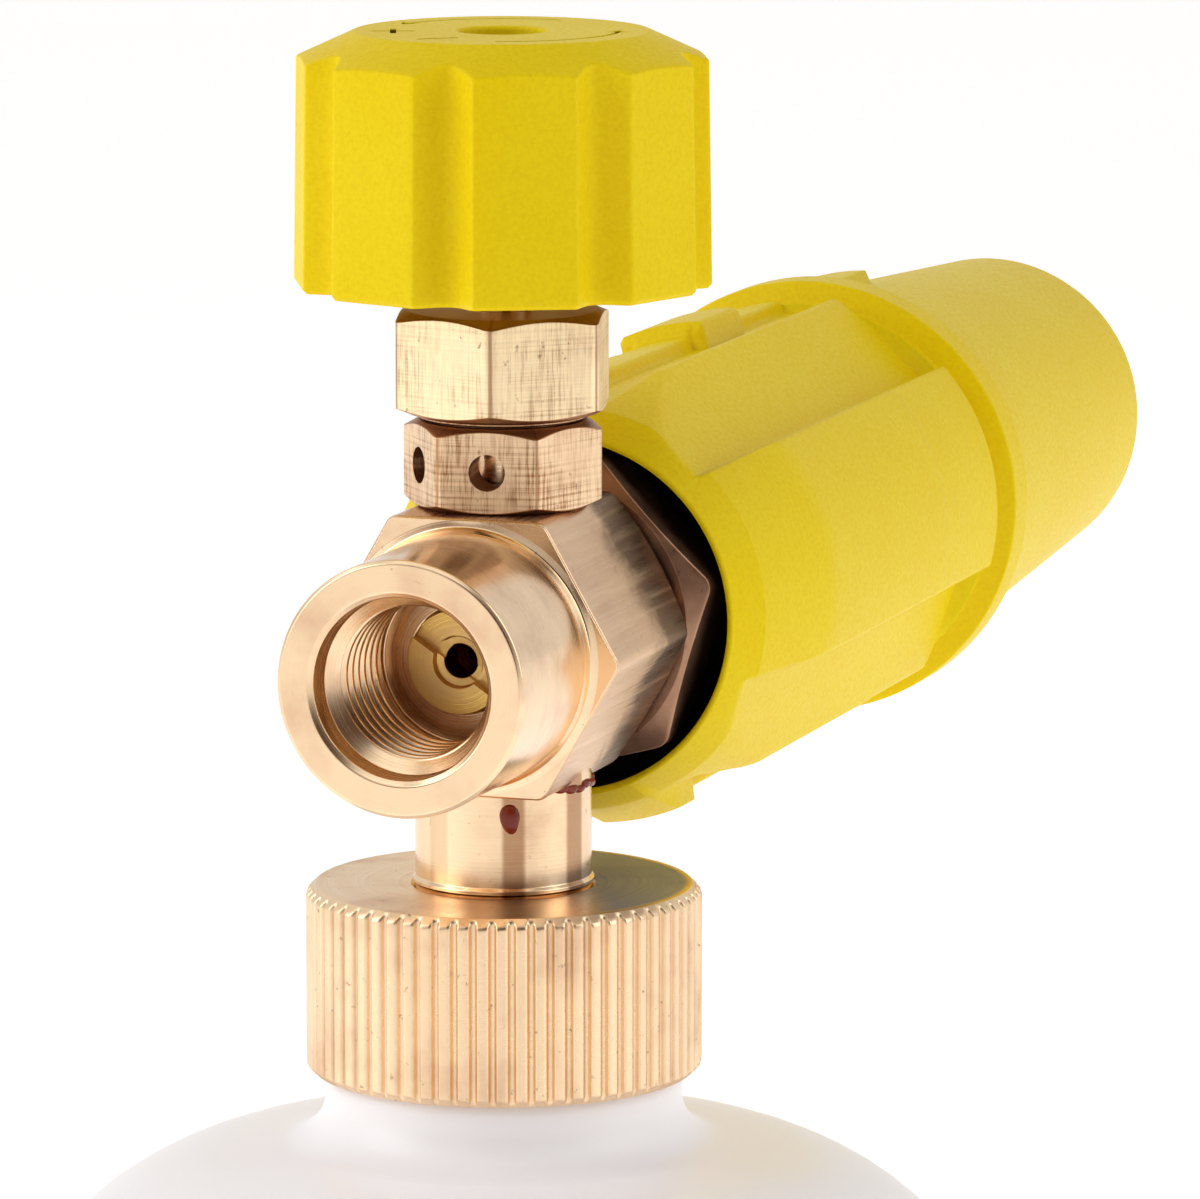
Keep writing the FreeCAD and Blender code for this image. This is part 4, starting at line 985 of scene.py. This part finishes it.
LEFT_FROM_CAD = {
    "bottle_gasket": black_rubber, "jet_oring": black_rubber, "spindle_oring": black_rubber,
    "nozzle_oring": black_rubber, "pickup_tube": clear_tube, "suction_strainer": black_plastic,
    "spindle": brass_stem, "knob_screw": steel, "venturi_throat": brass_stem,
    "mesh_pack": wire_look(), "mesh_clip": steel, "mesh_washer": steel, "sleeve_circlip": steel,
    "nozzle_insert": black_plastic, "upper_jaw": black_plastic, "lower_jaw": black_plastic,
    "jaw_pins": steel,
}
for node, look in LEFT_FROM_CAD.items():
    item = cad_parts[node]
    item.data.materials.clear()
    item.data.materials.append(look)


# ---------------------------------------------------------------- stage, light and camera

def floor_piece():
    reach = 30000.0
    vertices = [(-reach, -reach, 0), (reach, -reach, 0), (reach, reach, 0), (-reach, reach, 0)]
    floor = mesh_object("studio_floor", vertices, [[0, 1, 2, 3]])
    look = Look("pale_floor", Roughness=0.7, Emission_Color=(1, 1, 1, 1), Emission_Strength=0.5)
    cloud = look.noise(look.point, 3.0, 2.0)
    floor.data.materials.append(look.finish(
        look.mix(cloud, (0.93, 0.93, 0.935, 1), (0.95, 0.95, 0.95, 1))))


def soft_light(name, place, aim, size, power):
    lamp = bpy.data.lights.new(name, "AREA")
    lamp.shape = "RECTANGLE"
    lamp.size, lamp.size_y = size
    lamp.energy = power
    item = bpy.data.objects.new(name, lamp)
    bpy.context.scene.collection.objects.link(item)
    item.location = place
    item.rotation_euler = (Vector(place) - Vector(aim)).to_track_quat("Z", "Y").to_euler()


def studio_world():
    """White all round, with four soft brown spots for the dark things that the brass reflects."""
    world = bpy.data.worlds.new("studio")
    bpy.context.scene.world = world
    world.use_nodes = True
    tree = world.node_tree
    background = tree.nodes["Background"]
    place = tree.nodes.new("ShaderNodeTexCoord").outputs["Generated"]

    def spot(direction, inner, outer):
        """1 towards a direction, falling to 0 between two angles from it."""
        product = tree.nodes.new("ShaderNodeVectorMath")
        product.operation = "DOT_PRODUCT"
        tree.links.new(place, product.inputs[0])
        product.inputs[1].default_value = Vector(direction).normalized()
        fade = tree.nodes.new("ShaderNodeMapRange")
        fade.interpolation_type = "SMOOTHSTEP"
        tree.links.new(product.outputs["Value"], fade.inputs[0])
        fade.inputs[1].default_value = math.cos(math.radians(outer))
        fade.inputs[2].default_value = math.cos(math.radians(inner))
        return fade.outputs[0]

    def blended(share, first, second):
        item = tree.nodes.new("ShaderNodeMix")
        item.data_type = "RGBA"
        tree.links.new(share, item.inputs["Factor"])
        for socket, value in ((item.inputs[6], first), (item.inputs[7], second)):
            if isinstance(value, bpy.types.NodeSocket):
                tree.links.new(value, socket)
            else:
                socket.default_value = value
        return item.outputs[2]

    colour = blended(spot((0.55, -0.75, 0.45), 16, 44), (1.0, 1.0, 1.0, 1), (0.09, 0.045, 0.025, 1))
    colour = blended(spot((-0.35, -0.9, 0.25), 4, 16), colour, (0.22, 0.12, 0.07, 1))
    colour = blended(spot((0.95, 0.3, 0.1), 6, 18), colour, (0.16, 0.09, 0.06, 1))
    colour = blended(spot((0.1, 0.35, 0.93), 14, 42), colour, (0.14, 0.08, 0.05, 1))
    tree.links.new(colour, background.inputs["Color"])
    background.inputs["Strength"].default_value = 0.78


def photo_camera():
    """A long lens in front of the inlet, to its right and a little above it."""
    azimuth, elevation = math.radians(18.769), math.radians(9.313)
    distance, right_shift, up_shift = 0.685027, 0.007658, 0.003258
    focal_length, sensor_width = 259.97, 36.0
    forward = Vector((-math.sin(azimuth) * math.cos(elevation),
                      math.cos(azimuth) * math.cos(elevation), -math.sin(elevation)))
    right = Vector((math.cos(azimuth), math.sin(azimuth), 0))
    up = right.cross(forward)
    lens = bpy.data.cameras.new("photo_camera")
    lens.sensor_width = sensor_width
    lens.lens = focal_length
    lens.clip_start, lens.clip_end = 0.01, 100.0
    camera = bpy.data.objects.new("photo_camera", lens)
    bpy.context.scene.collection.objects.link(camera)
    aim = Vector((0, 0, SPRAY_HEIGHT * MM)) + right * right_shift + up * up_shift
    place = aim - forward * distance
    turn = Matrix((right, up, -forward)).transposed().to_4x4()
    camera.matrix_world = Matrix.Translation(place) @ turn
    bpy.context.scene.camera = camera


floor_piece()
studio_world()
soft_light("left_box", (-0.9, -0.5, 0.75), (0, 0, 0.2), (0.8, 1.0), 4.4)
soft_light("right_box", (0.95, 0.1, 0.7), (0, 0, 0.2), (0.6, 1.0), 2.6)
soft_light("top_box", (0.0, -0.1, 1.3), (0, 0.03, 0.2), (0.9, 0.9), 1.2)
photo_camera()
bpy.context.scene.view_settings.view_transform = "Standard"
